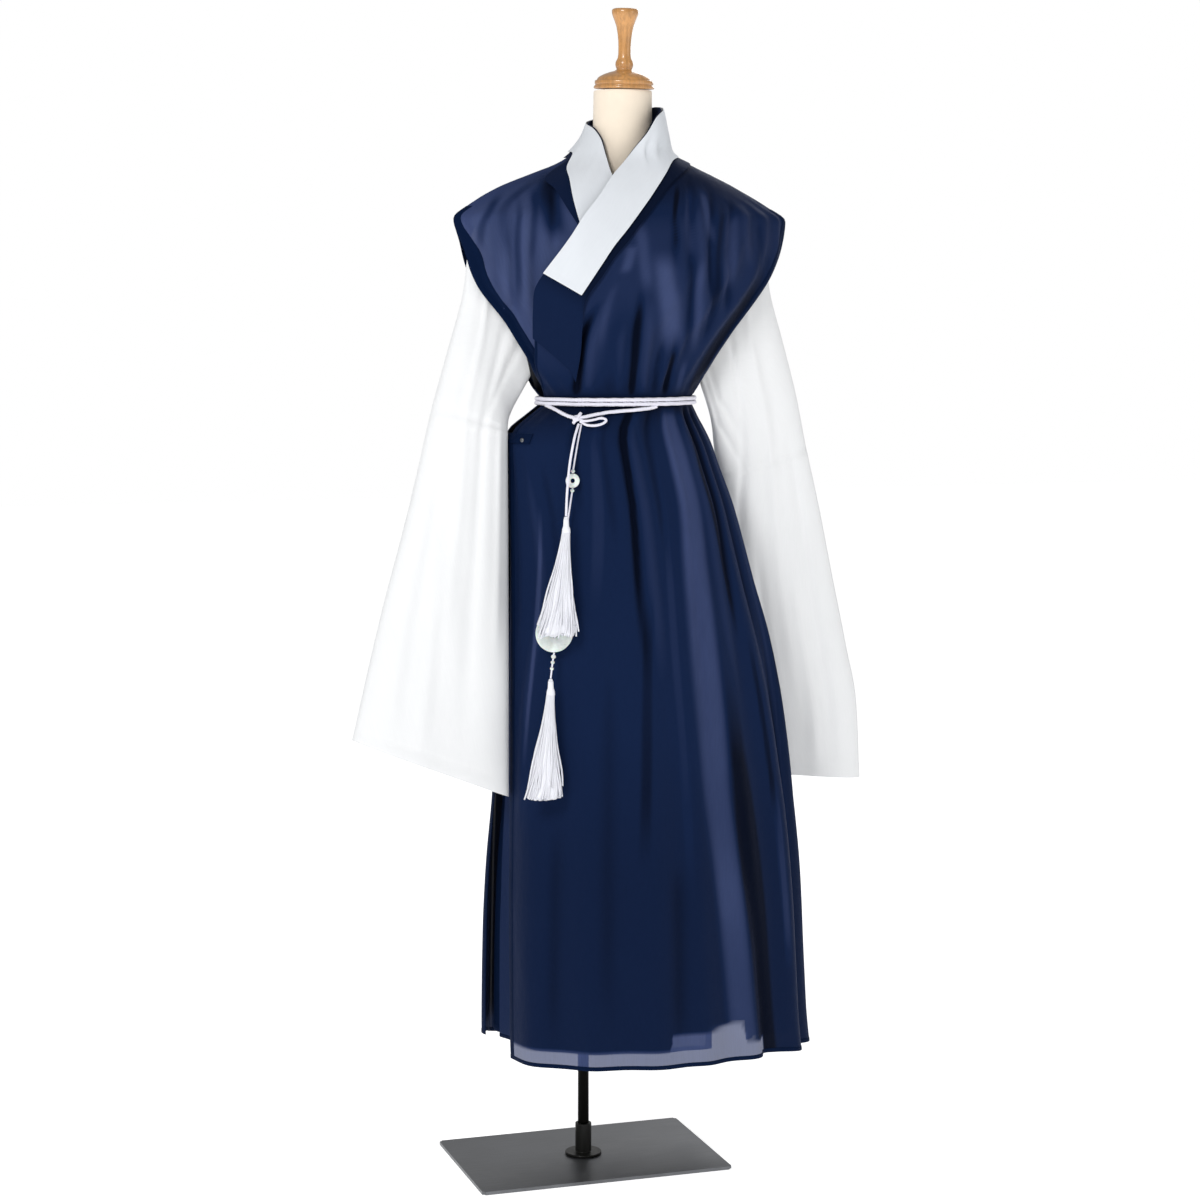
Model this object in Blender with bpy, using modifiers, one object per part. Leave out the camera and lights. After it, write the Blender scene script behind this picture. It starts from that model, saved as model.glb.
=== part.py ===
"""A hanfu set on a limbless dress form: a white shirt with wide sleeves, an inner navy skirt, a sheer
sleeveless navy over-robe with a white collar cover, and a white cord belt with jade and two tassels.

Frame: metres, +Z up, the floor at z = 0 under the middle of the base plate, the front towards -Y,
the wearer's right towards -X. Every cloth layer follows one family of horizontal sections, each
layer a named distance inside the outermost one, so no two layers meet.
"""

import bisect
import math

import bmesh
import bpy
from mathutils import Vector

PART = "hanfu_on_dress_form"

# ---------------------------------------------------------------- driving sizes, metres
BASE_SIZE = (0.394, 0.259, 0.005)
POLE_RADIUS = 0.0085
POLE_FOOT_RADIUS = 0.0125
POLE_FOOT_HEIGHT = 0.048
FLANGE_RADIUS = 0.028
FLANGE_THICKNESS = 0.004
BELT_HEIGHT = 1.170
HEM_HEIGHT = 0.186
WALL = 0.0012
GAP = 0.0004

# How far each layer's outer face lies inside the outermost cloth surface.
INSET_SHIRT = 0.0215
INSET_SHIRT_OVERLAP = 0.0180
INSET_INNER_SKIRT = 0.0145
INSET_ROBE_RIGHT = 0.0105
INSET_BAND_RIGHT = 0.0068
INSET_COVER_RIGHT = 0.0032
INSET_ROBE_LEFT = 0.0
INSET_BAND_LEFT = -0.0050
INSET_COVER_LEFT = -0.0088
INSET_BELT = -0.0052
SEAM = 0.0007

# Sections of the outermost cloth. left, right: where the panels' side edges are; edge: the section
# angle of those edges, 90 where front meets back and less where an armhole or slit stands open;
# middle: the depth of the widest line; front, back: half depths; power: 0.5 gives an ellipse, more
# gives a lens with thin shoulder caps, less gives a squarer section.
SECTIONS = [
    # height, left, right, edge, middle, front, back, power
    (0.150, -0.137, 0.334, 90, -0.020, 0.168, 0.166, 0.40),
    (0.230, -0.140, 0.326, 90, -0.022, 0.164, 0.160, 0.40),
    (0.425, -0.141, 0.316, 90, -0.028, 0.152, 0.148, 0.40),
    (0.595, -0.139, 0.299, 90, -0.033, 0.142, 0.138, 0.41),
    (0.783, -0.138, 0.270, 90, -0.040, 0.130, 0.128, 0.42),
    (0.916, -0.138, 0.238, 90, -0.046, 0.120, 0.119, 0.43),
    (1.011, -0.139, 0.214, 90, -0.050, 0.112, 0.110, 0.45),
    (1.070, -0.1395, 0.193, 90, -0.053, 0.106, 0.102, 0.47),
    (1.105, -0.1395, 0.180, 90, -0.055, 0.102, 0.098, 0.48),
    (1.128, -0.129, 0.168, 90, -0.056, 0.098, 0.093, 0.49),
    (1.150, -0.102, 0.154, 90, -0.058, 0.093, 0.087, 0.50),
    (1.170, -0.081, 0.147, 90, -0.058, 0.088, 0.083, 0.50),
    (1.190, -0.090, 0.154, 80, -0.058, 0.091, 0.085, 0.50),
    (1.218, -0.103, 0.168, 68, -0.058, 0.097, 0.088, 0.53),
    (1.266, -0.130, 0.200, 66, -0.058, 0.108, 0.092, 0.60),
    (1.317, -0.160, 0.240, 66, -0.058, 0.120, 0.095, 0.70),
    (1.360, -0.186, 0.273, 69, -0.058, 0.120, 0.097, 0.80),
    (1.400, -0.203, 0.293, 76, -0.058, 0.115, 0.096, 0.90),
    (1.435, -0.214, 0.301, 87, -0.058, 0.104, 0.092, 0.95),
    (1.455, -0.1905, 0.273, 90, -0.058, 0.097, 0.086, 0.95),
    (1.480, -0.1465, 0.228, 90, -0.057, 0.087, 0.078, 0.85),
    (1.500, -0.0965, 0.186, 90, -0.056, 0.077, 0.068, 0.72),
    (1.517, -0.0535, 0.146, 90, -0.055, 0.067, 0.060, 0.62),
    (1.533, -0.030, 0.112, 90, -0.055, 0.058, 0.053, 0.52),
    (1.560, -0.008, 0.1035, 90, -0.055, 0.060, 0.056, 0.50),
    (1.585, 0.001, 0.0975, 90, -0.055, 0.060, 0.058, 0.50),
    (1.610, 0.008, 0.090, 90, -0.055, 0.060, 0.058, 0.50),
]

# Soft folds of the robe's skirt: the section angle at the hem and at the belt, how far the crest
# stands out at the hem, the crest's half width in degrees, and the height where it has died away.
SKIRT_FOLDS = [
    # hem_angle, belt_angle, rise, half_width, top
    (-62, -40, 0.008, 13, 1.02),
    (-34, -22, 0.007, 11, 1.12),
    (-8, -6, 0.009, 12, 1.15),
    (10, 10, 0.009, 8, 1.15),
    (30, 24, 0.014, 10, 1.16),
    (54, 42, 0.022, 10, 1.16),
    (78, 60, 0.020, 8, 1.15),
    (98, 84, 0.022, 10, 1.12),
    (122, 108, 0.018, 10, 1.14),
    (148, 134, 0.020, 11, 1.15),
    (172, 160, 0.018, 10, 1.15),
    (196, 184, 0.020, 11, 1.15),
    (220, 208, 0.018, 10, 1.14),
    (246, 232, 0.016, 11, 1.12),
    (264, 254, 0.022, 9, 0.80),
]

# Folds of the robe above the belt, as ridges between a point on the shoulder and one on the belt.
CHEST_FOLDS = [
    # shoulder_angle, belt_angle, rise, half_width
    (-66, -62, 0.004, 5),
    (30, -8, 0.005, 6),
    (44, 14, 0.006, 5),
    (56, 34, 0.006, 5),
    (68, 54, 0.005, 5),
    (112, 104, 0.004, 7),
    (138, 132, 0.005, 7),
    (165, 160, 0.005, 7),
    (195, 188, 0.005, 7),
    (222, 216, 0.005, 7),
    (248, 246, 0.004, 7),
]
CHEST_FOLD_TOP = 1.47
BELT_GATHER_RISE = 0.0025
BELT_GATHER_COUNT = 34

COLOURS = {
    # name: (red, green, blue), roughness, metallic
    "navy_sheer": ((0.025, 0.045, 0.12), 0.7, 0.0),
    "navy_lining": ((0.010, 0.020, 0.055), 0.8, 0.0),
    "white_cloth": ((0.80, 0.81, 0.83), 0.8, 0.0),
    "collar_white": ((0.70, 0.73, 0.78), 0.75, 0.0),
    "cord_white": ((0.66, 0.65, 0.76), 0.8, 0.0),
    "tassel_silk": ((0.68, 0.70, 0.80), 0.6, 0.0),
    "jade": ((0.62, 0.72, 0.66), 0.25, 0.0),
    "form_jersey": ((0.80, 0.68, 0.54), 0.9, 0.0),
    "turned_wood": ((0.62, 0.33, 0.11), 0.4, 0.0),
    "black_steel": ((0.008, 0.008, 0.007), 0.35, 0.6),
    "grey_steel": ((0.12, 0.12, 0.125), 0.35, 0.9),
}


# ---------------------------------------------------------------- scene and mesh helpers
def clear_scene():
    for thing in list(bpy.data.objects):
        bpy.data.objects.remove(thing)


def material(name):
    if name in bpy.data.materials:
        return bpy.data.materials[name]
    colour, roughness, metallic = COLOURS[name]
    made = bpy.data.materials.new(name)
    made.use_nodes = True
    shader = made.node_tree.nodes["Principled BSDF"]
    shader.inputs["Base Color"].default_value = (*colour, 1)
    shader.inputs["Roughness"].default_value = roughness
    shader.inputs["Metallic"].default_value = metallic
    made.diffuse_color = (*colour, 1)
    return made


def place(mesh, name, finish):
    """Makes an object of the mesh in the part's collection, with its material."""
    thing = bpy.data.objects.new(name, mesh)
    mesh.materials.append(material(finish))
    bpy.data.collections[PART].objects.link(thing)
    return thing


def from_bmesh(bm, name, finish, smooth=True):
    bmesh.ops.recalc_face_normals(bm, faces=bm.faces)
    if bm.calc_volume(signed=True) < 0:
        bmesh.ops.reverse_faces(bm, faces=bm.faces)
    mesh = bpy.data.meshes.new(name)
    bm.to_mesh(mesh)
    bm.free()
    if smooth:
        mesh.shade_smooth()
        mesh.set_sharp_from_angle(angle=math.radians(40))
    return place(mesh, name, finish)


def walled_sheet(outer, inner, name, finish, closed=False):
    """Closes two matching grids of points, rows by columns, into one wall with rims all round."""
    bm = bmesh.new()
    faces_of = []
    for grid in (outer, inner):
        faces_of.append([[bm.verts.new(point) for point in row] for row in grid])
    rows = len(outer)
    columns = len(outer[0])
    spans = columns if closed else columns - 1

    def quad(a, b, c, d):
        bm.faces.new((a, b, c, d))

    front, back = faces_of
    for i in range(rows - 1):
        for j in range(spans):
            k = (j + 1) % columns
            quad(front[i][j], front[i][k], front[i + 1][k], front[i + 1][j])
            quad(back[i][j], back[i + 1][j], back[i + 1][k], back[i][k])
    for i in (0, rows - 1):
        for j in range(spans):
            k = (j + 1) % columns
            quad(front[i][j], back[i][j], back[i][k], front[i][k])
    if not closed:
        for i in range(rows - 1):
            for j in (0, columns - 1):
                quad(front[i][j], front[i + 1][j], back[i + 1][j], back[i][j])
    return from_bmesh(bm, name, finish)


def turned(profile, centre, name, finish, steps=32, tilt=0.0):
    """Turns (radius, height) points, from the top down, about a vertical axis through centre."""
    mesh = bpy.data.meshes.new(name)
    mesh.from_pydata([(r, 0, z) for r, z in profile], [(i, i + 1) for i in range(len(profile) - 1)], [])
    thing = place(mesh, name, finish)
    thing.location = centre
    thing.rotation_euler = (tilt, 0, 0)
    screw = thing.modifiers.new("turn", "SCREW")
    screw.steps = screw.render_steps = steps
    screw.use_merge_vertices = True
    screw.merge_threshold = 0.00005
    screw.use_smooth_shade = True
    return thing


def smooth_route(points, spacing):
    """Points along a Catmull-Rom curve through the given ones, about spacing apart."""
    ends = [points[0]] + [Vector(p) for p in points] + [points[-1]]
    route = []
    for a, b, c, d in zip(ends, ends[1:], ends[2:], ends[3:]):
        a, b, c, d = Vector(a), Vector(b), Vector(c), Vector(d)
        steps = max(1, round((c - b).length / spacing))
        for i in range(steps):
            t = i / steps
            route.append(
                0.5
                * (2 * b + (c - a) * t + (2 * a - 5 * b + 4 * c - d) * t**2 + (3 * b - a - 3 * c + d) * t**3)
            )
    route.append(Vector(points[-1]))
    return route


def cord(points, radius, name, finish, spacing=0.012, closed=False):
    curve = bpy.data.curves.new(name, "CURVE")
    curve.dimensions = "3D"
    curve.bevel_depth = radius
    curve.bevel_resolution = 2
    curve.use_fill_caps = not closed
    route = smooth_route(points, spacing)
    spline = curve.splines.new("POLY")
    spline.points.add(len(route) - 1)
    for spot, point in zip(spline.points, route):
        spot.co = (*point, 1)
    spline.use_cyclic_u = closed
    thing = bpy.data.objects.new(name, curve)
    curve.materials.append(material(finish))
    bpy.data.collections[PART].objects.link(thing)
    return thing


# ---------------------------------------------------------------- the family of cloth sections
def eased(value, low, high):
    """0 below low, 1 above high, with a smooth step between."""
    share = min(1.0, max(0.0, (value - low) / (high - low)))
    return share * share * (3 - 2 * share)


def blend(points, value):
    """Reads a short table of (value, result) rows, in rising order, with straight runs between them."""
    keys = [row[0] for row in points]
    if value <= keys[0]:
        return points[0][1]
    if value >= keys[-1]:
        return points[-1][1]
    k = bisect.bisect_right(keys, value)
    share = (value - keys[k - 1]) / (keys[k] - keys[k - 1])
    return points[k - 1][1] * (1 - share) + points[k][1] * share


def section(height):
    """The section's centre, half width and other values at a height, with straight runs between the rows."""
    keys = [row[0] for row in SECTIONS]
    k = min(len(keys) - 2, max(0, bisect.bisect_right(keys, height) - 1))
    share = min(1.0, max(0.0, (height - keys[k]) / (keys[k + 1] - keys[k])))
    low, high = SECTIONS[k][1:], SECTIONS[k + 1][1:]
    left, right, edge, middle, front, back, power = [a + (b - a) * share for a, b in zip(low, high)]
    half = (right - left) / 2 / math.sin(math.radians(edge))
    return (left + right) / 2, half, edge, middle, front, back, power


def crest(angle, at, half_width):
    away = (angle - at + 180) % 360 - 180
    return math.exp(-1.6 * (away / half_width) ** 2)


def fold_rise(angle, height):
    """How far the folds stand out from the plain section, never negative."""
    rise = 0.0
    if height < BELT_HEIGHT:
        down = (BELT_HEIGHT - height) / (BELT_HEIGHT - HEM_HEIGHT)
        for hem_angle, belt_angle, most, half_width, top in SKIRT_FOLDS:
            at = belt_angle + (hem_angle - belt_angle) * min(1.0, down * 1.6)
            strength = eased(top - height, 0.0, 0.45) * (0.45 + 0.55 * down)
            rise += most * strength * crest(angle, at, half_width)
    elif height < CHEST_FOLD_TOP:
        up = (height - BELT_HEIGHT) / (CHEST_FOLD_TOP - BELT_HEIGHT)
        for shoulder_angle, belt_angle, most, half_width in CHEST_FOLDS:
            at = belt_angle + (shoulder_angle - belt_angle) * up
            rise += most * math.sin(math.pi * up) ** 0.6 * crest(angle, at, half_width)
    away = abs(height - BELT_HEIGHT) / 0.026
    gather = 0.5 + 0.5 * math.cos(math.radians(angle) * BELT_GATHER_COUNT)
    return rise + BELT_GATHER_RISE * gather * away**2 * math.exp(1 - away**2)


def cloth_point(angle, height, inset, folds=1.0):
    """A point on the cloth: the angle runs from 0 at the front, + towards the wearer's left."""
    centre, half, _, middle, front, back, power = section(height)
    turn = math.radians(angle)
    sine, cosine = math.sin(turn), math.cos(turn)
    depth = (front if cosine > 0 else back) - inset
    reach = math.copysign(abs(cosine) ** (2 * power), cosine)
    mean_depth = front * (1 + cosine) / 2 + back * (1 - cosine) / 2
    outward = Vector((mean_depth * sine, -half * cosine, 0)).normalized()
    spot = Vector((centre + (half - inset) * sine, middle - depth * reach, height))
    return spot + outward * (folds * fold_rise(angle, height))


def on_cloth(x, height, out):
    """The point of the front cloth surface at this x, moved out."""
    centre, half = section(height)[:2]
    angle = math.degrees(math.asin(max(-1.0, min(1.0, (x - centre) / half))))
    return cloth_point(angle, height, -out)


def panel(name, heights, left_of, right_of, columns, inset, finish, folds=1.0, hem_of=None, tuck_of=None):
    """A cloth wall over the sections, between two edges given as angles at each height."""
    grids = [[], []]
    for height in heights:
        left, right = left_of(height), right_of(height)
        for grid, depth in zip(grids, (inset, inset + WALL)):
            row = []
            for j in range(columns + 1):
                angle = left + (right - left) * j / columns
                level = height if hem_of is None else hem_of(angle, height)
                tuck = 0.0 if tuck_of is None else tuck_of(angle, height)
                row.append(cloth_point(angle, level, depth + tuck, folds))
            grid.append(row)
    return walled_sheet(*grids, name, finish)


def heights_between(low, high, step):
    count = max(1, round((high - low) / step))
    return [low + (high - low) * i / count for i in range(count + 1)]


def seam_angle(height):
    """The angle where front and back lie SEAM apart, along the shoulder and down the side."""
    _, _, _, _, front, back, power = section(height)
    return math.degrees(math.acos((SEAM / 2 / min(front, back)) ** (1 / (2 * power))))


def armhole_angle(height):
    return min(section(height)[2], seam_angle(height))


# ---------------------------------------------------------------- the over-robe
ROBE_TOP = 1.528
BODICE_HEIGHTS = [1.17, 1.19, 1.218, 1.266, 1.317, 1.36, 1.40, 1.435, 1.455, 1.48, 1.5, 1.517, ROBE_TOP]
SKIRT_HEIGHTS = [HEM_HEIGHT, 0.32, 0.48, 0.64, 0.79, 0.92, 1.02, 1.08, 1.11, 1.14]

UNDERLAP_HEM = 0.208
OPEN_SIDE_ANGLE = 87

# Edges as (height, angle) rows, from the hem up.
LEFT_FRONT_EDGE = [
    (0.186, -79),
    (1.10, -80),
    (1.17, -84),
    (1.19, -75),
    (1.26, -54.5),
    (1.296, -48),
    (1.351, -36),
    (1.42, -20),
    (1.496, -4),
    (1.533, 20),
]
RIGHT_FRONT_EDGE = [
    (0.186, 12),
    (1.10, 32),
    (1.17, 45),
    (1.19, 42),
    (1.25, 20),
    (1.30, 8),
    (1.36, -3),
    (1.408, -10),
    (1.45, -14),
    (1.50, -24),
    (1.533, -48),
]


def hem_level(angle, height):
    """Lowers the hem a little behind the wearer's left and lifts it at the open edge on the right."""
    drop = 0.020 * max(0.0, math.sin(math.radians(angle - 40))) - 0.022 * eased(angle, 234, 266)
    return height - drop * max(0.0, (BELT_HEIGHT - height) / (BELT_HEIGHT - HEM_HEIGHT)) ** 2


# The right front runs under the left one, and from these angles on it comes out to meet the back at the shoulder.
RISE_ANGLES = [(1.17, 90), (1.27, 90), (1.317, 56), (1.36, 46), (1.40, 48), (1.44, 56), (1.48, 62), (1.50, 68), (1.528, 78)]


def shoulder_rise(angle, height):
    """How far the right front stands out from its place under the left front, as a negative tuck."""
    if height < 1.28:
        return 0.0
    start = blend(RISE_ANGLES, height)
    return -INSET_ROBE_RIGHT * eased(-angle, start, armhole_angle(height)) * eased(height, 1.28, 1.34)


def make_robe():
    heights = SKIRT_HEIGHTS + BODICE_HEIGHTS
    panel(
        "robe_front_left",
        heights,
        lambda z: blend(LEFT_FRONT_EDGE, z),
        armhole_angle,
        26,
        INSET_ROBE_LEFT,
        "navy_sheer",
        hem_of=hem_level,
    )
    panel(
        "robe_back",
        heights,
        lambda z: 180 - armhole_angle(z),
        lambda z: 180 + (armhole_angle(z) if z > BELT_HEIGHT else OPEN_SIDE_ANGLE),
        22,
        INSET_ROBE_LEFT,
        "navy_sheer",
        hem_of=hem_level,
    )
    panel(
        "robe_front_right",
        [UNDERLAP_HEM] + [z for z in heights if z > HEM_HEIGHT],
        lambda z: -armhole_angle(z),
        lambda z: blend(RIGHT_FRONT_EDGE, z),
        13,
        INSET_ROBE_RIGHT,
        "navy_sheer",
        tuck_of=shoulder_rise,
    )


ARMHOLE_BAND_ANGLE = 5.5
ARMHOLE_BAND_RAISE = 0.0046


def make_armhole_bands():
    """The doubled strip along each armhole edge of the robe, front and back."""
    heights = [z for z in BODICE_HEIGHTS if 1.18 < z < 1.45]
    for side, sign in (("left", 1), ("right", -1)):
        inset = INSET_ROBE_LEFT if side == "left" else INSET_ROBE_RIGHT
        panel(
            f"armhole_band_front_{side}",
            heights,
            lambda z, s=sign: s * (armhole_angle(z) - ARMHOLE_BAND_ANGLE),
            lambda z, s=sign: s * (armhole_angle(z) - 0.6),
            2,
            inset - ARMHOLE_BAND_RAISE,
            "navy_sheer",
            tuck_of=shoulder_rise if side == "right" else None,
        )
        panel(
            f"armhole_band_back_{side}",
            heights,
            lambda z, s=sign: 180 - s * (armhole_angle(z) - 0.6),
            lambda z, s=sign: 180 - s * (armhole_angle(z) - ARMHOLE_BAND_ANGLE),
            2,
            INSET_ROBE_LEFT - ARMHOLE_BAND_RAISE,
            "navy_sheer",
        )


# ---------------------------------------------------------------- the collar and its white cover
# The strip round the neck, from the wearer's right end, round the back, to the left end.
# Its upper edge lies towards the neck, its lower edge towards the shoulders.
COLLAR_ROWS = [
    # upper_angle, upper_height, lower_angle, lower_height, layer: 0 right, 1 left
    (-5.3, 1.462, -18, 1.398, 0.0),
    (-8.9, 1.477, -21.5, 1.418, 0.0),
    (-15.5, 1.496, -22, 1.431, 0.0),
    (-31, 1.526, -26.7, 1.463, 0.0),
    (-57, 1.552, -38.5, 1.492, 0.05),
    (-80, 1.566, -56, 1.509, 0.3),
    (-100, 1.573, -76, 1.5295, 0.75),
    (-120, 1.578, -103, 1.533, 1.0),
    (-145, 1.584, -138, 1.534, 1.0),
    (-180, 1.592, -180, 1.533, 1.0),
    (-225, 1.597, -220, 1.534, 1.0),
    (-270, 1.600, -270, 1.532, 1.0),
    (-304, 1.593, -300, 1.526, 1.0),
    (-334, 1.579, -329.6, 1.518, 1.0),
    (-349, 1.558, -345.4, 1.4995, 1.0),
    (-360, 1.538, -353, 1.479, 1.0),
    (-373.4, 1.514, -358.6, 1.458, 1.0),
    (-375.6, 1.495, -363, 1.438, 1.0),
    (-376.6, 1.466, -367.3, 1.416, 1.0),
    (-379.7, 1.440, -371.6, 1.395, 1.0),
    (-385.3, 1.4075, -375.5, 1.371, 1.0),
    (-396.5, 1.355, -384.5, 1.3235, 1.0),
]
COLLAR_TAIL_ROWS = [
    (-401.5, 1.335, -386.5, 1.296, 1.0),
    (-407, 1.302, -390, 1.258, 1.0),
    (-414, 1.262, -399, 1.215, 1.0),
]
COLLAR_WIDENING = 0.016


def collar_strip(name, rows, inset_right, inset_left, finish, widening=0.0, across=4):
    """A strip of equal columns between the two edges, with one more column where it is widened."""
    grids = [[], []]
    for upper_angle, upper_height, lower_angle, lower_height, layer in rows:
        inset = inset_right + (inset_left - inset_right) * layer
        for grid, depth in zip(grids, (inset, inset + WALL)):
            row = []
            for j in range(across + 1):
                share = j / across
                angle = upper_angle + (lower_angle - upper_angle) * share
                row.append(cloth_point(angle, upper_height + (lower_height - upper_height) * share, depth))
            if widening:
                low = lower_height - widening * (1 - 0.8 * eased(lower_height, 1.515, 1.53))
                row.append(cloth_point(lower_angle, low, depth))
            grid.append(row)
    return walled_sheet(*grids, name, finish)


def make_collar():
    tail = COLLAR_ROWS + COLLAR_TAIL_ROWS
    collar_strip("robe_collar", tail, INSET_BAND_RIGHT, INSET_BAND_LEFT, "navy_sheer", COLLAR_WIDENING)
    collar_strip("collar_cover", COLLAR_ROWS, INSET_COVER_RIGHT, INSET_COVER_LEFT, "collar_white")


# ---------------------------------------------------------------- the inner skirt and the shirt
INNER_SKIRT_HEM = 0.212
INNER_FRONT_EDGE = [(0.186, 19), (0.28, 19), (0.61, 13.5), (0.78, 16), (0.93, 20), (1.08, 26), (1.19, 27)]
INNER_BACK_EDGE = [(0.186, 29), (0.28, 29), (0.61, 29.5), (0.75, 30), (0.91, 31), (1.03, 34.5), (1.19, 36)]
INNER_OPEN_SIDE_ANGLES = (-80, 276)
TUCK_DEPTHS = [(0.21, 0.0), (0.34, 0.008), (0.50, 0.016), (0.66, 0.024), (0.80, 0.020), (0.95, 0.0)]
TUCK_ANGLE = 92
TUCK_HALF_WIDTH = 40
SHIRT_HEM = 1.02
SHIRT_TOP = 1.505
SHIRT_ARMHOLE_DEPTH = 8


def inner_tuck(angle, height):
    """The inner skirt hangs straighter than the robe over the wearer's left hip, so it lies further in."""
    return blend(TUCK_DEPTHS, height) * crest(angle, TUCK_ANGLE, TUCK_HALF_WIDTH)


def make_inner_skirt():
    heights = [INNER_SKIRT_HEM] + [z for z in SKIRT_HEIGHTS if z > HEM_HEIGHT] + [1.17, 1.188]
    left_end, right_end = INNER_OPEN_SIDE_ANGLES
    for name, left_of, right_of, columns, folds in (
        ("inner_skirt_front", lambda z: left_end, lambda z: blend(INNER_FRONT_EDGE, z), 13, 0.7),
        ("inner_skirt_back", lambda z: blend(INNER_BACK_EDGE, z), lambda z: right_end, 17, 0.8),
    ):
        panel(
            name,
            heights,
            left_of,
            right_of,
            columns,
            INSET_INNER_SKIRT,
            "navy_lining",
            folds,
            tuck_of=inner_tuck,
        )


def make_shirt_body():
    heights = [SHIRT_HEM, 1.10] + [z for z in BODICE_HEIGHTS if z < SHIRT_TOP]

    def arm(height):
        """The shirt's own armhole lies inside the robe's, and the shoulder above it is closed."""
        inside = SHIRT_ARMHOLE_DEPTH * eased(height, 1.17, 1.20) * (1 - eased(height, 1.44, 1.455))
        return armhole_angle(height) - inside

    panel(
        "shirt_front_right",
        heights,
        lambda z: -arm(z),
        lambda z: blend(RIGHT_FRONT_EDGE, z) - 3,
        8,
        INSET_SHIRT,
        "white_cloth",
        0.5,
    )
    panel(
        "shirt_front_left",
        heights,
        lambda z: max(blend(LEFT_FRONT_EDGE, z) + 4, -30),
        arm,
        10,
        INSET_SHIRT_OVERLAP,
        "white_cloth",
        0.5,
    )
    panel(
        "shirt_back",
        heights,
        lambda z: 180 - arm(z),
        lambda z: 180 + arm(z),
        13,
        INSET_SHIRT,
        "white_cloth",
        0.5,
    )


# ---------------------------------------------------------------- the wide sleeves
# Each row is one slanting section of a flattened tube, from its top edge to its under edge.
# row: outer_x, outer_height, inner_x, inner_height, depth, half_thickness
RIGHT_SLEEVE_ROWS = [
    (-0.172, 1.446, -0.100, 1.205, -0.058, 0.019),
    (-0.190, 1.400, -0.116, 1.178, -0.058, 0.020),
    (-0.200, 1.331, -0.128, 1.158, -0.060, 0.022),
    (-0.225, 1.247, -0.136, 1.142, -0.066, 0.026),
    (-0.2505, 1.163, -0.1385, 1.129, -0.071, 0.029),
]
RIGHT_CUFF_ROWS = [
    (-0.2515, 1.160, -0.139, 1.126, -0.071, 0.029),
    (-0.277, 1.058, -0.1395, 1.035, -0.074, 0.031),
    (-0.301, 0.969, -0.1395, 0.930, -0.075, 0.032),
    (-0.329, 0.869, -0.1395, 0.820, -0.075, 0.032),
    (-0.350, 0.786, -0.1395, 0.720, -0.075, 0.031),
    (-0.375, 0.682, -0.1400, 0.587, -0.075, 0.030),
]
LEFT_SLEEVE_ROWS = [
    (0.252, 1.440, 0.160, 1.212, -0.058, 0.019),
    (0.268, 1.398, 0.172, 1.178, -0.058, 0.020),
    (0.276, 1.337, 0.181, 1.155, -0.055, 0.022),
    (0.300, 1.262, 0.190, 1.132, -0.046, 0.024),
    (0.328, 1.182, 0.199, 1.100, -0.032, 0.027),
    (0.3555, 1.093, 0.212, 1.055, -0.012, 0.029),
]
LEFT_CUFF_ROWS = [
    (0.3565, 1.090, 0.213, 1.052, -0.011, 0.029),
    (0.388, 0.998, 0.226, 0.960, 0.012, 0.031),
    (0.420, 0.891, 0.246, 0.860, 0.034, 0.031),
    (0.452, 0.775, 0.268, 0.745, 0.050, 0.031),
    (0.474, 0.684, 0.286, 0.655, 0.058, 0.030),
    (0.483, 0.560, 0.300, 0.578, 0.062, 0.028),
]
SLEEVE_AROUND = 18
SLEEVE_RIPPLE = 0.0045


def sleeve_point(row, share, angle, inset):
    outer_x, outer_height, inner_x, inner_height, depth, half_thickness = row
    top = Vector((outer_x, depth, outer_height))
    under = Vector((inner_x, depth, inner_height))
    along = (top - under) / 2
    reach = along.length - inset
    thickness = half_thickness - inset
    turn = 2 * math.pi * angle
    ripple = SLEEVE_RIPPLE * share * math.sin(turn) * math.cos(3.1 * math.cos(turn) + 4 * share)
    lift = math.copysign(abs(math.sin(turn)) ** 0.8, math.sin(turn))
    middle = (top + under) / 2 + along.normalized() * reach * math.cos(turn)
    return middle + Vector((0, thickness * lift + ripple, 0))


def sleeve(name, rows, first_share):
    grids = [[], []]
    for i, row in enumerate(rows):
        share = first_share + 0.5 * i / (len(rows) - 1)
        for grid, inset in zip(grids, (0.0, WALL)):
            grid.append([sleeve_point(row, share, j / SLEEVE_AROUND, inset) for j in range(SLEEVE_AROUND)])
    return walled_sheet(*grids, name, "white_cloth", closed=True)


def make_sleeves():
    sleeve("sleeve_upper_right", RIGHT_SLEEVE_ROWS, 0.0)
    sleeve("sleeve_lower_right", RIGHT_CUFF_ROWS, 0.5)
    sleeve("sleeve_upper_left", LEFT_SLEEVE_ROWS, 0.0)
    sleeve("sleeve_lower_left", LEFT_CUFF_ROWS, 0.5)


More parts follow.
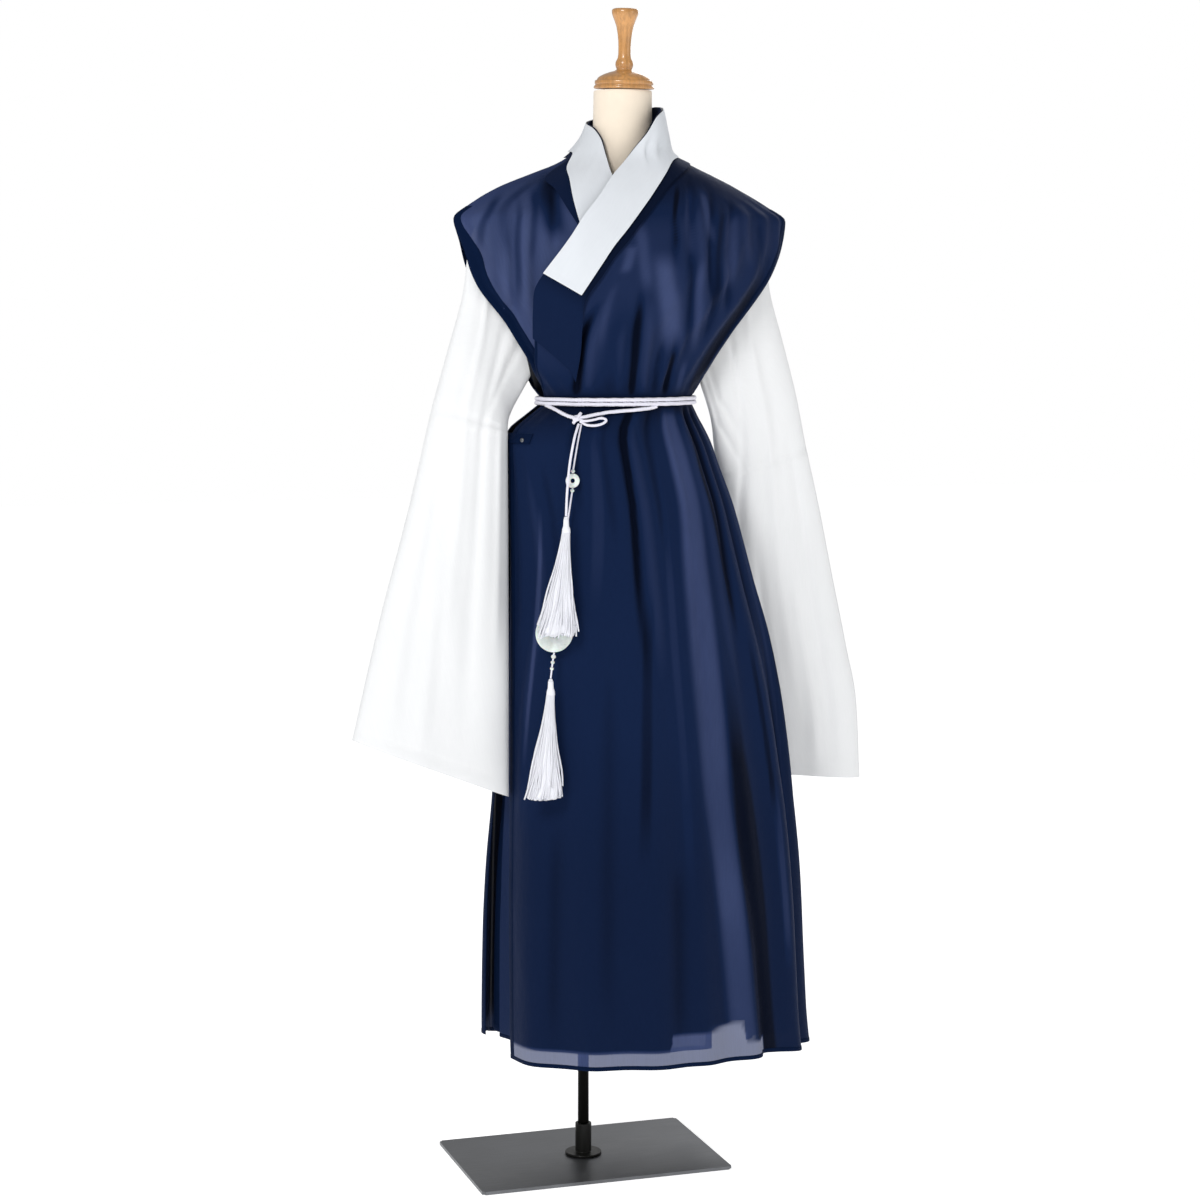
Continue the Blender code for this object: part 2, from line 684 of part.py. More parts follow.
# ---------------------------------------------------------------- the dress form and its stand
FORM_ROWS = [
    # height, centre_x, centre_y, half_width, half_depth
    (0.860, 0.036, -0.054, 0.118, 0.080),
    (0.900, 0.036, -0.054, 0.124, 0.084),
    (0.960, 0.036, -0.055, 0.126, 0.084),
    (1.030, 0.034, -0.056, 0.112, 0.075),
    (1.100, 0.033, -0.057, 0.097, 0.066),
    (1.170, 0.033, -0.058, 0.086, 0.058),
    (1.240, 0.034, -0.059, 0.092, 0.064),
    (1.310, 0.038, -0.062, 0.106, 0.071),
    (1.360, 0.042, -0.063, 0.116, 0.074),
    (1.410, 0.043, -0.060, 0.124, 0.070),
    (1.445, 0.042, -0.058, 0.124, 0.058),
    (1.470, 0.041, -0.057, 0.110, 0.049),
    (1.490, 0.041, -0.056, 0.086, 0.044),
    (1.507, 0.042, -0.055, 0.060, 0.042),
    (1.525, 0.043, -0.055, 0.048, 0.041),
    (1.560, 0.044, -0.055, 0.044, 0.040),
    (1.622, 0.044, -0.056, 0.043, 0.041),
]
FORM_AROUND = 24
CAP_BASE_HEIGHT = 1.6225
CAP_CENTRE = (0.0455, -0.057)
CAP_TILT = 0.05


def make_form():
    bm = bmesh.new()
    rings = []
    for height, centre_x, centre_y, half_width, half_depth in FORM_ROWS:
        ring = []
        for j in range(FORM_AROUND):
            turn = 2 * math.pi * j / FORM_AROUND
            spot = (centre_x + half_width * math.cos(turn), centre_y + half_depth * math.sin(turn), height)
            ring.append(bm.verts.new(spot))
        rings.append(ring)
    for low, high in zip(rings, rings[1:]):
        for j in range(FORM_AROUND):
            k = (j + 1) % FORM_AROUND
            bm.faces.new((low[j], low[k], high[k], high[j]))
    bm.faces.new(reversed(rings[0]))
    bm.faces.new(rings[-1])
    from_bmesh(bm, "form_body", "form_jersey")


def make_cap():
    """The turned wooden neck cap with its knob and flared handle, as one turned piece."""
    profile = [
        # radius, height above the neck
        (0.0, 0.118),
        (0.015, 0.118),
        (0.0195, 0.115),
        (0.0185, 0.108),
        (0.0125, 0.092),
        (0.0095, 0.072),
        (0.0092, 0.052),
        (0.0115, 0.043),
        (0.0130, 0.037),
        (0.0115, 0.031),
        (0.0150, 0.027),
        (0.0300, 0.023),
        (0.0385, 0.018),
        (0.0400, 0.0150),
        (0.0425, 0.0140),
        (0.0430, 0.0090),
        (0.0415, 0.0080),
        (0.0440, 0.0060),
        (0.0445, 0.0030),
        (0.0430, 0.0022),
        (0.0, 0.0022),
    ]
    turned(profile, (*CAP_CENTRE, CAP_BASE_HEIGHT), "form_cap", "turned_wood", 18, CAP_TILT)


def make_stand():
    bm = bmesh.new()
    bmesh.ops.create_cube(bm, size=1)
    bmesh.ops.scale(bm, vec=BASE_SIZE, verts=bm.verts)
    bmesh.ops.translate(bm, vec=(0, 0, BASE_SIZE[2] / 2), verts=bm.verts)
    upright = [e for e in bm.edges if abs(e.verts[0].co.z - e.verts[1].co.z) > 0.001]
    bmesh.ops.bevel(bm, geom=upright, offset=0.004, segments=3, affect="EDGES")
    from_bmesh(bm, "base_plate", "grey_steel", smooth=False)
    floor = BASE_SIZE[2] + GAP
    foot = POLE_FOOT_HEIGHT
    turned(
        [
            (0.0, foot + 0.001),
            (POLE_FOOT_RADIUS - 0.001, foot + 0.001),
            (POLE_FOOT_RADIUS, foot),
            (POLE_FOOT_RADIUS, FLANGE_THICKNESS),
            (FLANGE_RADIUS - 0.001, FLANGE_THICKNESS),
            (FLANGE_RADIUS, FLANGE_THICKNESS - 0.001),
            (FLANGE_RADIUS, 0.0),
            (0.0, 0.0),
        ],
        (0, 0, floor),
        "pole_foot",
        "black_steel",
        24,
    )
    low = floor + foot + 0.001 + GAP
    high = FORM_ROWS[0][0] - GAP
    turned(
        [(0.0, high), (POLE_RADIUS, high), (POLE_RADIUS, low), (0.0, low)],
        (0, 0, 0),
        "pole",
        "black_steel",
        20,
    )


# ---------------------------------------------------------------- the cord belt and its pendants
BELT_RADIUS = 0.0029
BELT_CORD_HEIGHTS = (1.1732, 1.1668)
BELT_POINTS = 36
KNOT = (-0.049, 1.1475)
KNOT_OUT = 0.0075
KNOT_SIZE = (0.0075, 0.0055, 0.0065)
STRAND_SHARE = 0.85
LOOP_SHARE = 0.62
PENDANT_SHARE = 0.7
HANGING_RADIUS = 0.0019
PENDANT_DEPTH = -0.1545
TASSEL_DEPTH = -0.171
SMALL_JADE = (-0.0645, 1.058)
SMALL_JADE_RADII = (0.0105, 0.0032)
LARGE_JADE = (-0.0925, 0.838)
LARGE_JADE_RADII = (0.0285, 0.0070)
JADE_THICKNESS = 0.0028
UPPER_TASSEL = {"top": (-0.0795, 1.008), "bottom": (-0.0925, 0.829), "spread": (0.032, 0.011)}
LOWER_TASSEL = {"top": (-0.1000, 0.772), "bottom": (-0.1100, 0.590), "spread": (0.030, 0.012)}
TASSEL_CELLS = 5
TASSEL_HEAD_RADIUS = 0.0062
TASSEL_HEAD_LENGTH = 0.024
TASSEL_STEPS = (0.4, 1.0)
TASSEL_GROWTH = ((1.481, 1.114), (2.1, 1.3))
HIP_TAPE_HEIGHTS = (1.110, 1.124)


def belt_point(angle, height):
    return cloth_point(angle, height, INSET_BELT, 0.0)


def make_belt():
    for name, height in zip(("belt_upper", "belt_lower"), BELT_CORD_HEIGHTS):
        loop = [belt_point(360 * i / BELT_POINTS, height) for i in range(BELT_POINTS)]
        belt_cord(loop, name)
    knot_at = on_cloth(*KNOT, KNOT_OUT)
    left = [
        on_cloth(-0.0725, 1.1590, 0.0050),
        on_cloth(-0.0665, 1.1545, 0.0055),
        on_cloth(-0.0595, 1.1500, 0.0065),
    ]
    cord(left, BELT_RADIUS * STRAND_SHARE, "belt_strand_right", "cord_white", 0.006)
    right = [
        on_cloth(0.050, 1.1595, 0.0050),
        on_cloth(0.024, 1.1583, 0.0052),
        on_cloth(-0.004, 1.1560, 0.0056),
        on_cloth(-0.022, 1.1530, 0.0062),
        on_cloth(-0.0395, 1.1490, 0.0072),
    ]
    cord(right, BELT_RADIUS * STRAND_SHARE, "belt_strand_left", "cord_white", 0.008)
    loop = [
        on_cloth(-0.0400, 1.1425, 0.0075),
        on_cloth(-0.0290, 1.1450, 0.0085),
        on_cloth(-0.0180, 1.1475, 0.0085),
        on_cloth(-0.0120, 1.1445, 0.0085),
        on_cloth(-0.0180, 1.1395, 0.0080),
        on_cloth(-0.0290, 1.1370, 0.0080),
        on_cloth(-0.0405, 1.1360, 0.0075),
    ]
    cord(loop, BELT_RADIUS * LOOP_SHARE, "belt_loop", "cord_white", 0.005)
    bm = bmesh.new()
    bmesh.ops.create_uvsphere(bm, u_segments=10, v_segments=7, radius=1.0)
    bmesh.ops.scale(bm, vec=KNOT_SIZE, verts=bm.verts)
    bmesh.ops.translate(bm, vec=knot_at, verts=bm.verts)
    from_bmesh(bm, "belt_knot", "cord_white")
    return knot_at


def belt_cord(loop, name):
    """A closed cord round the waist, as a tube swept in mesh so that it has no seam."""
    bm = bmesh.new()
    sides = 6
    count = len(loop)
    rings = []
    for i, spot in enumerate(loop):
        ahead = (loop[(i + 1) % count] - loop[i - 1]).normalized()
        aside = ahead.cross(Vector((0, 0, 1))).normalized()
        ring = []
        for j in range(sides):
            turn = 2 * math.pi * j / sides
            offset = aside * math.cos(turn) + Vector((0, 0, 1)) * math.sin(turn)
            ring.append(bm.verts.new(spot + offset * BELT_RADIUS))
        rings.append(ring)
    for i in range(count):
        here, there = rings[i], rings[(i + 1) % count]
        for j in range(sides):
            k = (j + 1) % sides
            bm.faces.new((here[j], here[k], there[k], there[j]))
    from_bmesh(bm, name, "cord_white")


def disc_with_hole(name, centre, radii):
    """A flat round jade with a hole, facing the front."""
    outer, hole = radii
    chamfer = 0.0009
    half = JADE_THICKNESS / 2
    ring = [(outer, 0.0), (outer - chamfer, half), (hole, half), (hole, -half), (outer - chamfer, -half)]
    bm = bmesh.new()
    around = 22
    rings = []
    for i in range(around):
        across = math.cos(2 * math.pi * i / around)
        up = math.sin(2 * math.pi * i / around)
        rings.append(
            [bm.verts.new((centre[0] + r * across, PENDANT_DEPTH + y, centre[1] + r * up)) for r, y in ring]
        )
    for i in range(around):
        here, there = rings[i], rings[(i + 1) % around]
        for j in range(len(ring)):
            k = (j + 1) % len(ring)
            bm.faces.new((here[j], here[k], there[k], there[j]))
    from_bmesh(bm, name, "jade")


def tassel(name, top, bottom, spread, depth):
    """A bound head with a grid of separate locks drawn out of its under side."""
    bm = bmesh.new()
    bmesh.ops.create_grid(bm, x_segments=TASSEL_CELLS, y_segments=TASSEL_CELLS, size=TASSEL_HEAD_RADIUS)
    for vert in bm.verts:
        x, y = vert.co.x / TASSEL_HEAD_RADIUS, vert.co.y / TASSEL_HEAD_RADIUS
        vert.co.x = TASSEL_HEAD_RADIUS * x * math.sqrt(1 - y * y / 2)
        vert.co.y = TASSEL_HEAD_RADIUS * y * math.sqrt(1 - x * x / 2)
    cells = list(bm.faces)
    head = bmesh.ops.extrude_face_region(bm, geom=cells)
    roof = [g for g in head["geom"] if isinstance(g, bmesh.types.BMVert)]
    for vert in roof:
        vert.co.z += TASSEL_HEAD_LENGTH
        vert.co.x *= 0.45
        vert.co.y *= 0.45
    bmesh.ops.recalc_face_normals(bm, faces=bm.faces)
    under = [f for f in bm.faces if f.normal.z < -0.9 and f.calc_center_median().z < 0.001]
    bmesh.ops.inset_individual(bm, faces=under, thickness=0.00012)
    drop = top[1] - TASSEL_HEAD_LENGTH - bottom[1]
    sway = bottom[0] - top[0]
    locks = bmesh.ops.extrude_discrete_faces(bm, faces=under)["faces"]
    roots = [lock.calc_center_median() for lock in locks]
    for step, share in enumerate(TASSEL_STEPS):
        if step:
            locks = bmesh.ops.extrude_discrete_faces(bm, faces=locks)["faces"]
        for lock, root in zip(locks, roots):
            across = root.x / TASSEL_HEAD_RADIUS
            along = root.y / TASSEL_HEAD_RADIUS
            bow = share**1.5
            x = root.x + (spread[0] - TASSEL_HEAD_RADIUS) * across * bow + sway * share
            y = root.y + (spread[1] - TASSEL_HEAD_RADIUS) * along * bow
            centre = lock.calc_center_median()
            size = TASSEL_GROWTH[step]
            for vert in lock.verts:
                vert.co.x = x + (vert.co.x - centre.x) * size[0]
                vert.co.y = y + (vert.co.y - centre.y) * size[1]
                vert.co.z = -drop * share
    place_at = Vector((top[0], depth, top[1] - TASSEL_HEAD_LENGTH))
    bmesh.ops.translate(bm, vec=place_at, verts=bm.verts)
    from_bmesh(bm, name, "tassel_silk")



def make_pendants(knot_at):
    upper = UPPER_TASSEL["top"]
    cord(
        [
            (KNOT[0] - 0.0035, knot_at.y - 0.004, KNOT[1] - 0.0085),
            (-0.0625, -0.1560, 1.118),
            (-0.0715, -0.1620, 1.080),
            (-0.0775, -0.1690, 1.040),
            (upper[0], TASSEL_DEPTH, upper[1] + GAP),
        ],
        HANGING_RADIUS,
        "tassel_cord",
        "cord_white",
        0.012,
    )
    small_x, small_z = SMALL_JADE
    large_x, large_z = LARGE_JADE
    lower = LOWER_TASSEL["top"]
    rim = SMALL_JADE_RADII[0] + GAP
    wide_rim = LARGE_JADE_RADII[0] + GAP
    cord(
        [
            (KNOT[0] + 0.0015, knot_at.y - 0.001, KNOT[1] - 0.0088),
            (-0.0555, -0.1500, 1.112),
            (small_x, PENDANT_DEPTH, small_z + rim),
        ],
        HANGING_RADIUS * PENDANT_SHARE,
        "pendant_cord_upper",
        "cord_white",
        0.014,
    )
    cord(
        [
            (small_x, PENDANT_DEPTH, small_z - rim),
            (-0.0720, PENDANT_DEPTH, 1.000),
            (-0.0850, PENDANT_DEPTH, 0.920),
            (large_x, PENDANT_DEPTH, large_z + wide_rim),
        ],
        HANGING_RADIUS * PENDANT_SHARE,
        "pendant_cord_middle",
        "cord_white",
        0.025,
    )
    cord(
        [
            (large_x - 0.0005, PENDANT_DEPTH, large_z - wide_rim),
            (-0.0965, PENDANT_DEPTH - 0.002, 0.790),
            (lower[0], PENDANT_DEPTH - 0.006, lower[1] + GAP),
        ],
        HANGING_RADIUS * PENDANT_SHARE,
        "pendant_cord_lower",
        "cord_white",
        0.014,
    )
    disc_with_hole("jade_small", SMALL_JADE, SMALL_JADE_RADII)
    disc_with_hole("jade_large", LARGE_JADE, LARGE_JADE_RADII)
    tassel("tassel_upper", depth=TASSEL_DEPTH, **UPPER_TASSEL)
    tassel("tassel_lower", depth=PENDANT_DEPTH - 0.006, **LOWER_TASSEL)


def make_hip_tape():
    """The short tape that holds the top of the open front edge at the wearer's right hip."""
    low, high = HIP_TAPE_HEIGHTS
    panel(
        "hip_tape",
        [low, (low + high) / 2, high],
        lambda z: -86,
        lambda z: -58,
        5,
        INSET_ROBE_LEFT - 0.0019,
        "navy_lining",
    )


def main():
    clear_scene()
    collection = bpy.data.collections.new(PART)
    bpy.context.scene.collection.children.link(collection)
    make_stand()
    make_form()
    make_cap()
    make_shirt_body()
    make_sleeves()
    make_inner_skirt()
    make_robe()
    make_armhole_bands()
    make_collar()
    make_hip_tape()
    make_pendants(make_belt())


main()
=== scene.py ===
"""Dresses the hanfu frame: sheer navy over-robe, navy skirt, white wide-sleeved shirt with its collar cover,
braided belt with jade and tassels, and the limbless dress form on its stand."""

import math

import bpy
import numpy as np
from bpy.props import FloatProperty, FloatVectorProperty, IntProperty, PointerProperty
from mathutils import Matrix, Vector


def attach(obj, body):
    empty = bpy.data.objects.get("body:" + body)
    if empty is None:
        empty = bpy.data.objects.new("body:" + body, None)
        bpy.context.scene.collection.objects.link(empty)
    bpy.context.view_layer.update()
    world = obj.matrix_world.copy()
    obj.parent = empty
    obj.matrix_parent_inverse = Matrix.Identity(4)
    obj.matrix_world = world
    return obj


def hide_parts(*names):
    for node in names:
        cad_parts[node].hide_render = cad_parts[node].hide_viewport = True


bl_info = {
    "name": "Hanfu Robe Set",
    "version": (1, 0, 0),
    "blender": (4, 5, 0),
    "location": "View3D > Sidebar > Hanfu",
    "description": "Cloth, cord, jade, silk, wood and steel for a hanfu robe set on a dress form",
    "category": "Object",
}

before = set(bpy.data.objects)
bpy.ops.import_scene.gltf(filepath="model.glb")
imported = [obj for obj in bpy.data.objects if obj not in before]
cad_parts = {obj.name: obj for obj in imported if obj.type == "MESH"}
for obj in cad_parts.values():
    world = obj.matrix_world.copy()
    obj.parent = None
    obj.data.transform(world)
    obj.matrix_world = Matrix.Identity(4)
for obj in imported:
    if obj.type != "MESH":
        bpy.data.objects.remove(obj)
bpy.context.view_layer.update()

# ---------------------------------------------------------------- sizes shared with the solids, metres
BELT_HEIGHT = 1.170
HEM_HEIGHT = 0.186
ROBE_TOP = 1.528
SHIRT_TOP = 1.505

# How far each layer lies inside the outermost cloth surface.
INSET_SHIRT = 0.0215
INSET_SHIRT_OVERLAP = 0.0180
INSET_INNER_SKIRT = 0.0145
INSET_ROBE_RIGHT = 0.0105
INSET_BAND_RIGHT = 0.0068
INSET_COVER_RIGHT = 0.0032
INSET_ROBE = 0.0
INSET_BAND_LEFT = -0.0050
INSET_COVER_LEFT = -0.0088
INSET_BELT = -0.0052

# height, left, right, edge angle, middle, front, back, power
SECTIONS = np.array([
    (0.15, -0.137, 0.334, 90, -0.02, 0.168, 0.166, 0.4),
    (0.23, -0.14, 0.326, 90, -0.022, 0.164, 0.16, 0.4),
    (0.425, -0.141, 0.316, 90, -0.028, 0.152, 0.148, 0.4),
    (0.595, -0.139, 0.299, 90, -0.033, 0.142, 0.138, 0.41),
    (0.783, -0.138, 0.27, 90, -0.04, 0.13, 0.128, 0.42),
    (0.916, -0.138, 0.238, 90, -0.046, 0.12, 0.119, 0.43),
    (1.011, -0.139, 0.214, 90, -0.05, 0.112, 0.11, 0.45),
    (1.07, -0.1395, 0.193, 90, -0.053, 0.106, 0.102, 0.47),
    (1.105, -0.1395, 0.18, 90, -0.055, 0.102, 0.098, 0.48),
    (1.128, -0.129, 0.168, 90, -0.056, 0.098, 0.093, 0.49),
    (1.15, -0.102, 0.154, 90, -0.058, 0.093, 0.087, 0.5),
    (1.17, -0.081, 0.147, 90, -0.058, 0.088, 0.083, 0.5),
    (1.19, -0.09, 0.154, 80, -0.058, 0.091, 0.085, 0.5),
    (1.218, -0.103, 0.168, 68, -0.058, 0.097, 0.088, 0.53),
    (1.266, -0.13, 0.2, 66, -0.058, 0.108, 0.092, 0.6),
    (1.317, -0.16, 0.24, 66, -0.058, 0.12, 0.095, 0.7),
    (1.36, -0.186, 0.273, 69, -0.058, 0.12, 0.097, 0.8),
    (1.4, -0.203, 0.293, 76, -0.058, 0.115, 0.096, 0.9),
    (1.435, -0.214, 0.301, 87, -0.058, 0.104, 0.092, 0.95),
    (1.455, -0.1905, 0.273, 90, -0.058, 0.097, 0.086, 0.95),
    (1.48, -0.1465, 0.228, 90, -0.057, 0.087, 0.078, 0.85),
    (1.5, -0.0965, 0.186, 90, -0.056, 0.077, 0.068, 0.72),
    (1.517, -0.0535, 0.146, 90, -0.055, 0.067, 0.06, 0.62),
    (1.533, -0.03, 0.112, 90, -0.055, 0.058, 0.053, 0.52),
    (1.56, -0.008, 0.1035, 90, -0.055, 0.06, 0.056, 0.5),
    (1.585, 0.001, 0.0975, 90, -0.055, 0.06, 0.058, 0.5),
    (1.61, 0.008, 0.09, 90, -0.055, 0.06, 0.058, 0.5),
])

# Broad folds of the skirt: hem angle, belt angle, rise at the hem, half width, height where they begin.
SKIRT_FOLDS = [
    (-62, -40, 0.008, 13, 1.02), (-34, -22, 0.007, 11, 1.12), (-8, -6, 0.009, 12, 1.15), (10, 10, 0.009, 8, 1.15),
    (30, 24, 0.014, 10, 1.16), (54, 42, 0.022, 10, 1.16), (78, 60, 0.02, 8, 1.15), (98, 84, 0.022, 10, 1.12),
    (122, 108, 0.018, 10, 1.14), (148, 134, 0.02, 11, 1.15), (172, 160, 0.018, 10, 1.15), (196, 184, 0.02, 11, 1.15),
    (220, 208, 0.018, 10, 1.14), (246, 232, 0.016, 11, 1.12), (264, 254, 0.022, 9, 0.8),
]
# Broad folds above the belt: shoulder angle, belt angle, rise, half width.
CHEST_FOLDS = [
    (-66, -62, 0.004, 5), (30, -8, 0.005, 6), (44, 14, 0.006, 5), (56, 34, 0.006, 5), (68, 54, 0.005, 5),
    (112, 104, 0.004, 7), (138, 132, 0.005, 7), (165, 160, 0.005, 7), (195, 188, 0.005, 7), (222, 216, 0.005, 7),
    (248, 246, 0.004, 7),
]
CHEST_FOLD_TOP = 1.47
BELT_GATHER_RISE = 0.0025
BELT_GATHER_COUNT = 34
GATHER_DEPTH = 0.0028
CRUMPLE_DEPTH = 0.0005

# Creases: half width, rise or, below 0, depth, then height and place of each point down the cloth. On the skirt
# places are angles and widths degrees; above the belt both are metres.
SKIRT_CREASES = [
    (2, -0.007, 1.155, -3, 1.03, -3.6, 0.88, -6, 0.74, -7), (3, 0.003, 1.15, 2.5, 1.03, 2, 0.88, 0.5, 0.7, -1),
    (2.5, 0.003, 1.15, 24, 1.06, 24, 0.93, 18.5, 0.78, 14.5, 0.6, 12),
    (2.6, -0.007, 1.155, 47.7, 1.045, 47.4, 0.927, 43.7, 0.8, 41), (3, 0.003, 1.15, 39, 1, 38, 0.85, 35.5, 0.62, 34),
    (3.2, -0.0085, 0.7, 27.5, 0.616, 28, 0.487, 30, 0.332, 34.8, 0.186, 37),
    (3, 0.0026, 1.11, -63.4, 0.919, -54, 0.711, -66.6, 0.52, -70), (3, -0.0022, 1.11, -76, 0.95, -72, 0.78, -74),
    (2.6, -0.002, 1.09, -50, 1, -45, 0.88, -42), (2.2, -0.0024, 1.15, -32, 1.08, -30, 0.98, -29),
    (2.4, -0.0022, 1.15, -15, 1.06, -14, 0.93, -14), (2.2, -0.003, 1.15, 12, 1.05, 10.5, 0.9, 9.5),
    (3, -0.004, 1.15, 58, 0.95, 58.5, 0.72, 61), (3.4, 0.003, 1.14, 70, 0.92, 71, 0.66, 73, 0.4, 75),
    (3, -0.005, 0.98, 66, 0.7, 67, 0.4, 68.5, 0.186, 69), (3.2, -0.0016, 0.82, -22, 0.6, -25, 0.4, -27, 0.22, -28),
    (3.2, -0.0016, 0.56, -48, 0.4, -50, 0.2, -52), (2.8, -0.0022, 0.5, 1, 0.34, 0, 0.2, -1),
    (3, -0.005, 1.15, 88, 0.9, 91, 0.55, 92), (3.2, -0.006, 1.15, 100, 0.95, 104, 0.62, 108, 0.3, 111),
    (2.4, -0.005, 1.15, 118, 1.02, 121, 0.84, 124), (3, -0.0065, 1.15, 129, 0.9, 133, 0.5, 137, 0.186, 139),
    (2.2, 0.003, 1.15, 143, 1, 146, 0.8, 148), (3, -0.006, 1.15, 156, 0.92, 159, 0.6, 162, 0.24, 164),
    (2.4, -0.005, 1.15, 170, 1.05, 171, 0.9, 173), (3, -0.006, 1.15, 181, 0.88, 183, 0.52, 184, 0.186, 186),
    (2.2, -0.0045, 1.15, 196, 1.02, 198, 0.86, 200), (3, -0.0062, 1.15, 206, 0.9, 208, 0.56, 210, 0.22, 211),
    (2.6, 0.003, 1.15, 221, 0.98, 224, 0.76, 227), (3, -0.005, 1.15, 232, 0.9, 236, 0.6, 238, 0.3, 239),
    (3, -0.004, 1.1, 248, 0.86, 253, 0.5, 256),
]
FRONT_CREASES = [
    (0.0055, -0.007, 1.325, -0.018, 1.296, -0.04, 1.242, -0.051, 1.178, -0.049),
    (0.008, 0.003, 1.335, -0.006, 1.29, -0.024, 1.23, -0.036, 1.178, -0.036),
    (0.005, -0.0065, 1.345, 0.032, 1.317, 0.03, 1.26, 0.027, 1.178, 0.027),
    (0.007, 0.0028, 1.3, 0.012, 1.25, 0.006, 1.178, 0.008), (0.0065, 0.003, 1.33, 0.046, 1.26, 0.046, 1.178, 0.044),
    (0.0055, -0.0055, 1.28, 0.098, 1.23, 0.088, 1.178, 0.08),
    (0.005, -0.004, 1.27, 0.074, 1.22, 0.066, 1.178, 0.062),
    (0.006, -0.005, 1.497, 0.124, 1.44, 0.116, 1.389, 0.11, 1.3, 0.113, 1.22, 0.106),
    (0.0075, 0.003, 1.49, 0.14, 1.42, 0.128, 1.33, 0.132, 1.24, 0.126),
    (0.0055, -0.005, 1.482, 0.161, 1.43, 0.15, 1.389, 0.143, 1.3, 0.15, 1.25, 0.14),
    (0.0065, -0.0055, 1.47, 0.195, 1.42, 0.186, 1.375, 0.179, 1.288, 0.178),
    (0.007, 0.0028, 1.462, 0.214, 1.42, 0.212, 1.361, 0.218), (0.006, -0.0025, 1.435, 0.24, 1.4, 0.24, 1.35, 0.232),
    (0.006, -0.0028, 1.42, 0.086, 1.37, 0.085, 1.31, 0.09),
    (0.0065, -0.004, 1.46, -0.136, 1.39, -0.14, 1.317, -0.138, 1.25, -0.122),
    (0.006, -0.0035, 1.475, -0.105, 1.41, -0.111, 1.345, -0.112, 1.26, -0.1),
    (0.0065, 0.0026, 1.47, -0.122, 1.38, -0.126, 1.28, -0.12),
    (0.007, -0.0026, 1.455, -0.16, 1.37, -0.162, 1.3, -0.15),
    (0.005, -0.003, 1.48, -0.08, 1.43, -0.086, 1.38, -0.09),
    (0.006, 0.0024, 1.42, -0.188, 1.38, -0.182, 1.33, -0.168),
]
BACK_CREASES = [
    (0.007, -0.005, 1.49, -0.11, 1.38, -0.118, 1.26, -0.09, 1.178, -0.058),
    (0.006, -0.0045, 1.48, -0.06, 1.36, -0.064, 1.24, -0.046, 1.178, -0.03),
    (0.007, 0.0026, 1.5, -0.03, 1.4, -0.026, 1.3, -0.016), (0.006, -0.005, 1.44, 0.02, 1.3, 0.016, 1.178, 0.012),
    (0.0065, -0.0052, 1.5, 0.07, 1.36, 0.066, 1.22, 0.05, 1.178, 0.048),
    (0.007, 0.0026, 1.49, 0.11, 1.38, 0.112, 1.27, 0.094),
    (0.0065, -0.005, 1.48, 0.15, 1.36, 0.15, 1.25, 0.12, 1.178, 0.096),
    (0.006, -0.0035, 1.46, 0.205, 1.38, 0.2, 1.29, 0.17), (0.006, -0.003, 1.44, -0.165, 1.37, -0.16, 1.3, -0.135),
]
# Creases that reach the belt end at these heights, and fade out at the edges of its cords.
UNDER_BELT, OVER_BELT = 1.155, 1.178
CORD_EDGE_UNDER, CORD_EDGE_OVER = 1.164, 1.176

# Streaks of the sheer cloth, darker for an amount above 0 and lighter below it: painted shade and highlights along its
# folds, and strips where it lies doubled and where it lies in one layer. Half width, how much, then points as above.
RIGHT_CHEST_STREAKS = [
    (0.0038, 0.38, 1.472, -0.125, 1.388, -0.133, 1.3, -0.13),
    (0.0065, 0.25, 1.499, -0.088, 1.438, -0.15, 1.371, -0.146),
    (0.006, 0.38, 1.474, -0.147, 1.417, -0.18, 1.38, -0.185), (0.017, 0.6, 1.51, -0.062, 1.46, -0.087, 1.395, -0.08),
    (0.005, 0.25, 1.487, -0.104, 1.417, -0.111, 1.357, -0.119),
    (0.004, -0.45, 1.43, -0.203, 1.396, -0.197, 1.36, -0.182),
    (0.0055, -0.15, 1.37, -0.16, 1.303, -0.137, 1.235, -0.106),
]
LEFT_CHEST_STREAKS = [
    (0.017, -0.5, 1.388, 0.066, 1.317, 0.075, 1.235, 0.09), (0.0085, -0.26, 1.43, 0.034, 1.381, 0.036, 1.322, 0.043),
    (0.0075, -0.36, 1.396, 0.02, 1.374, 0.014, 1.352, 0.006),
    (0.006, -0.28, 1.485, 0.122, 1.425, 0.111, 1.365, 0.109), (0.007, -0.38, 1.48, 0.143, 1.44, 0.144, 1.395, 0.147),
    (0.01, -0.42, 1.45, 0.192, 1.39, 0.182, 1.32, 0.175), (0.0042, 0.3, 1.484, 0.102, 1.424, 0.088, 1.38, 0.088),
    (0.006, 0.28, 1.458, 0.174, 1.368, 0.157, 1.285, 0.157), (0.006, -0.3, 1.378, 0.127, 1.317, 0.123, 1.235, 0.126),
    (0.0042, 0.35, 1.318, -0.027, 1.26, -0.045, 1.178, -0.049),
    (0.0042, 0.35, 1.336, 0.033, 1.26, 0.031, 1.178, 0.027), (0.0042, 0.32, 1.25, 0.094, 1.216, 0.086, 1.178, 0.081),
    (0.005, -0.25, 1.235, 0.113, 1.201, 0.106, 1.178, 0.102),
    (0.0055, -0.12, 1.345, -0.003, 1.303, -0.018, 1.24, -0.023),
    (0.023, 0.1, 1.33, 0.012, 1.27, 0.008, 1.178, 0.006),
    (0.014, 0.4, 1.4, 0.262, 1.36, 0.244, 1.317, 0.216, 1.266, 0.178, 1.218, 0.15, 1.178, 0.136),
]
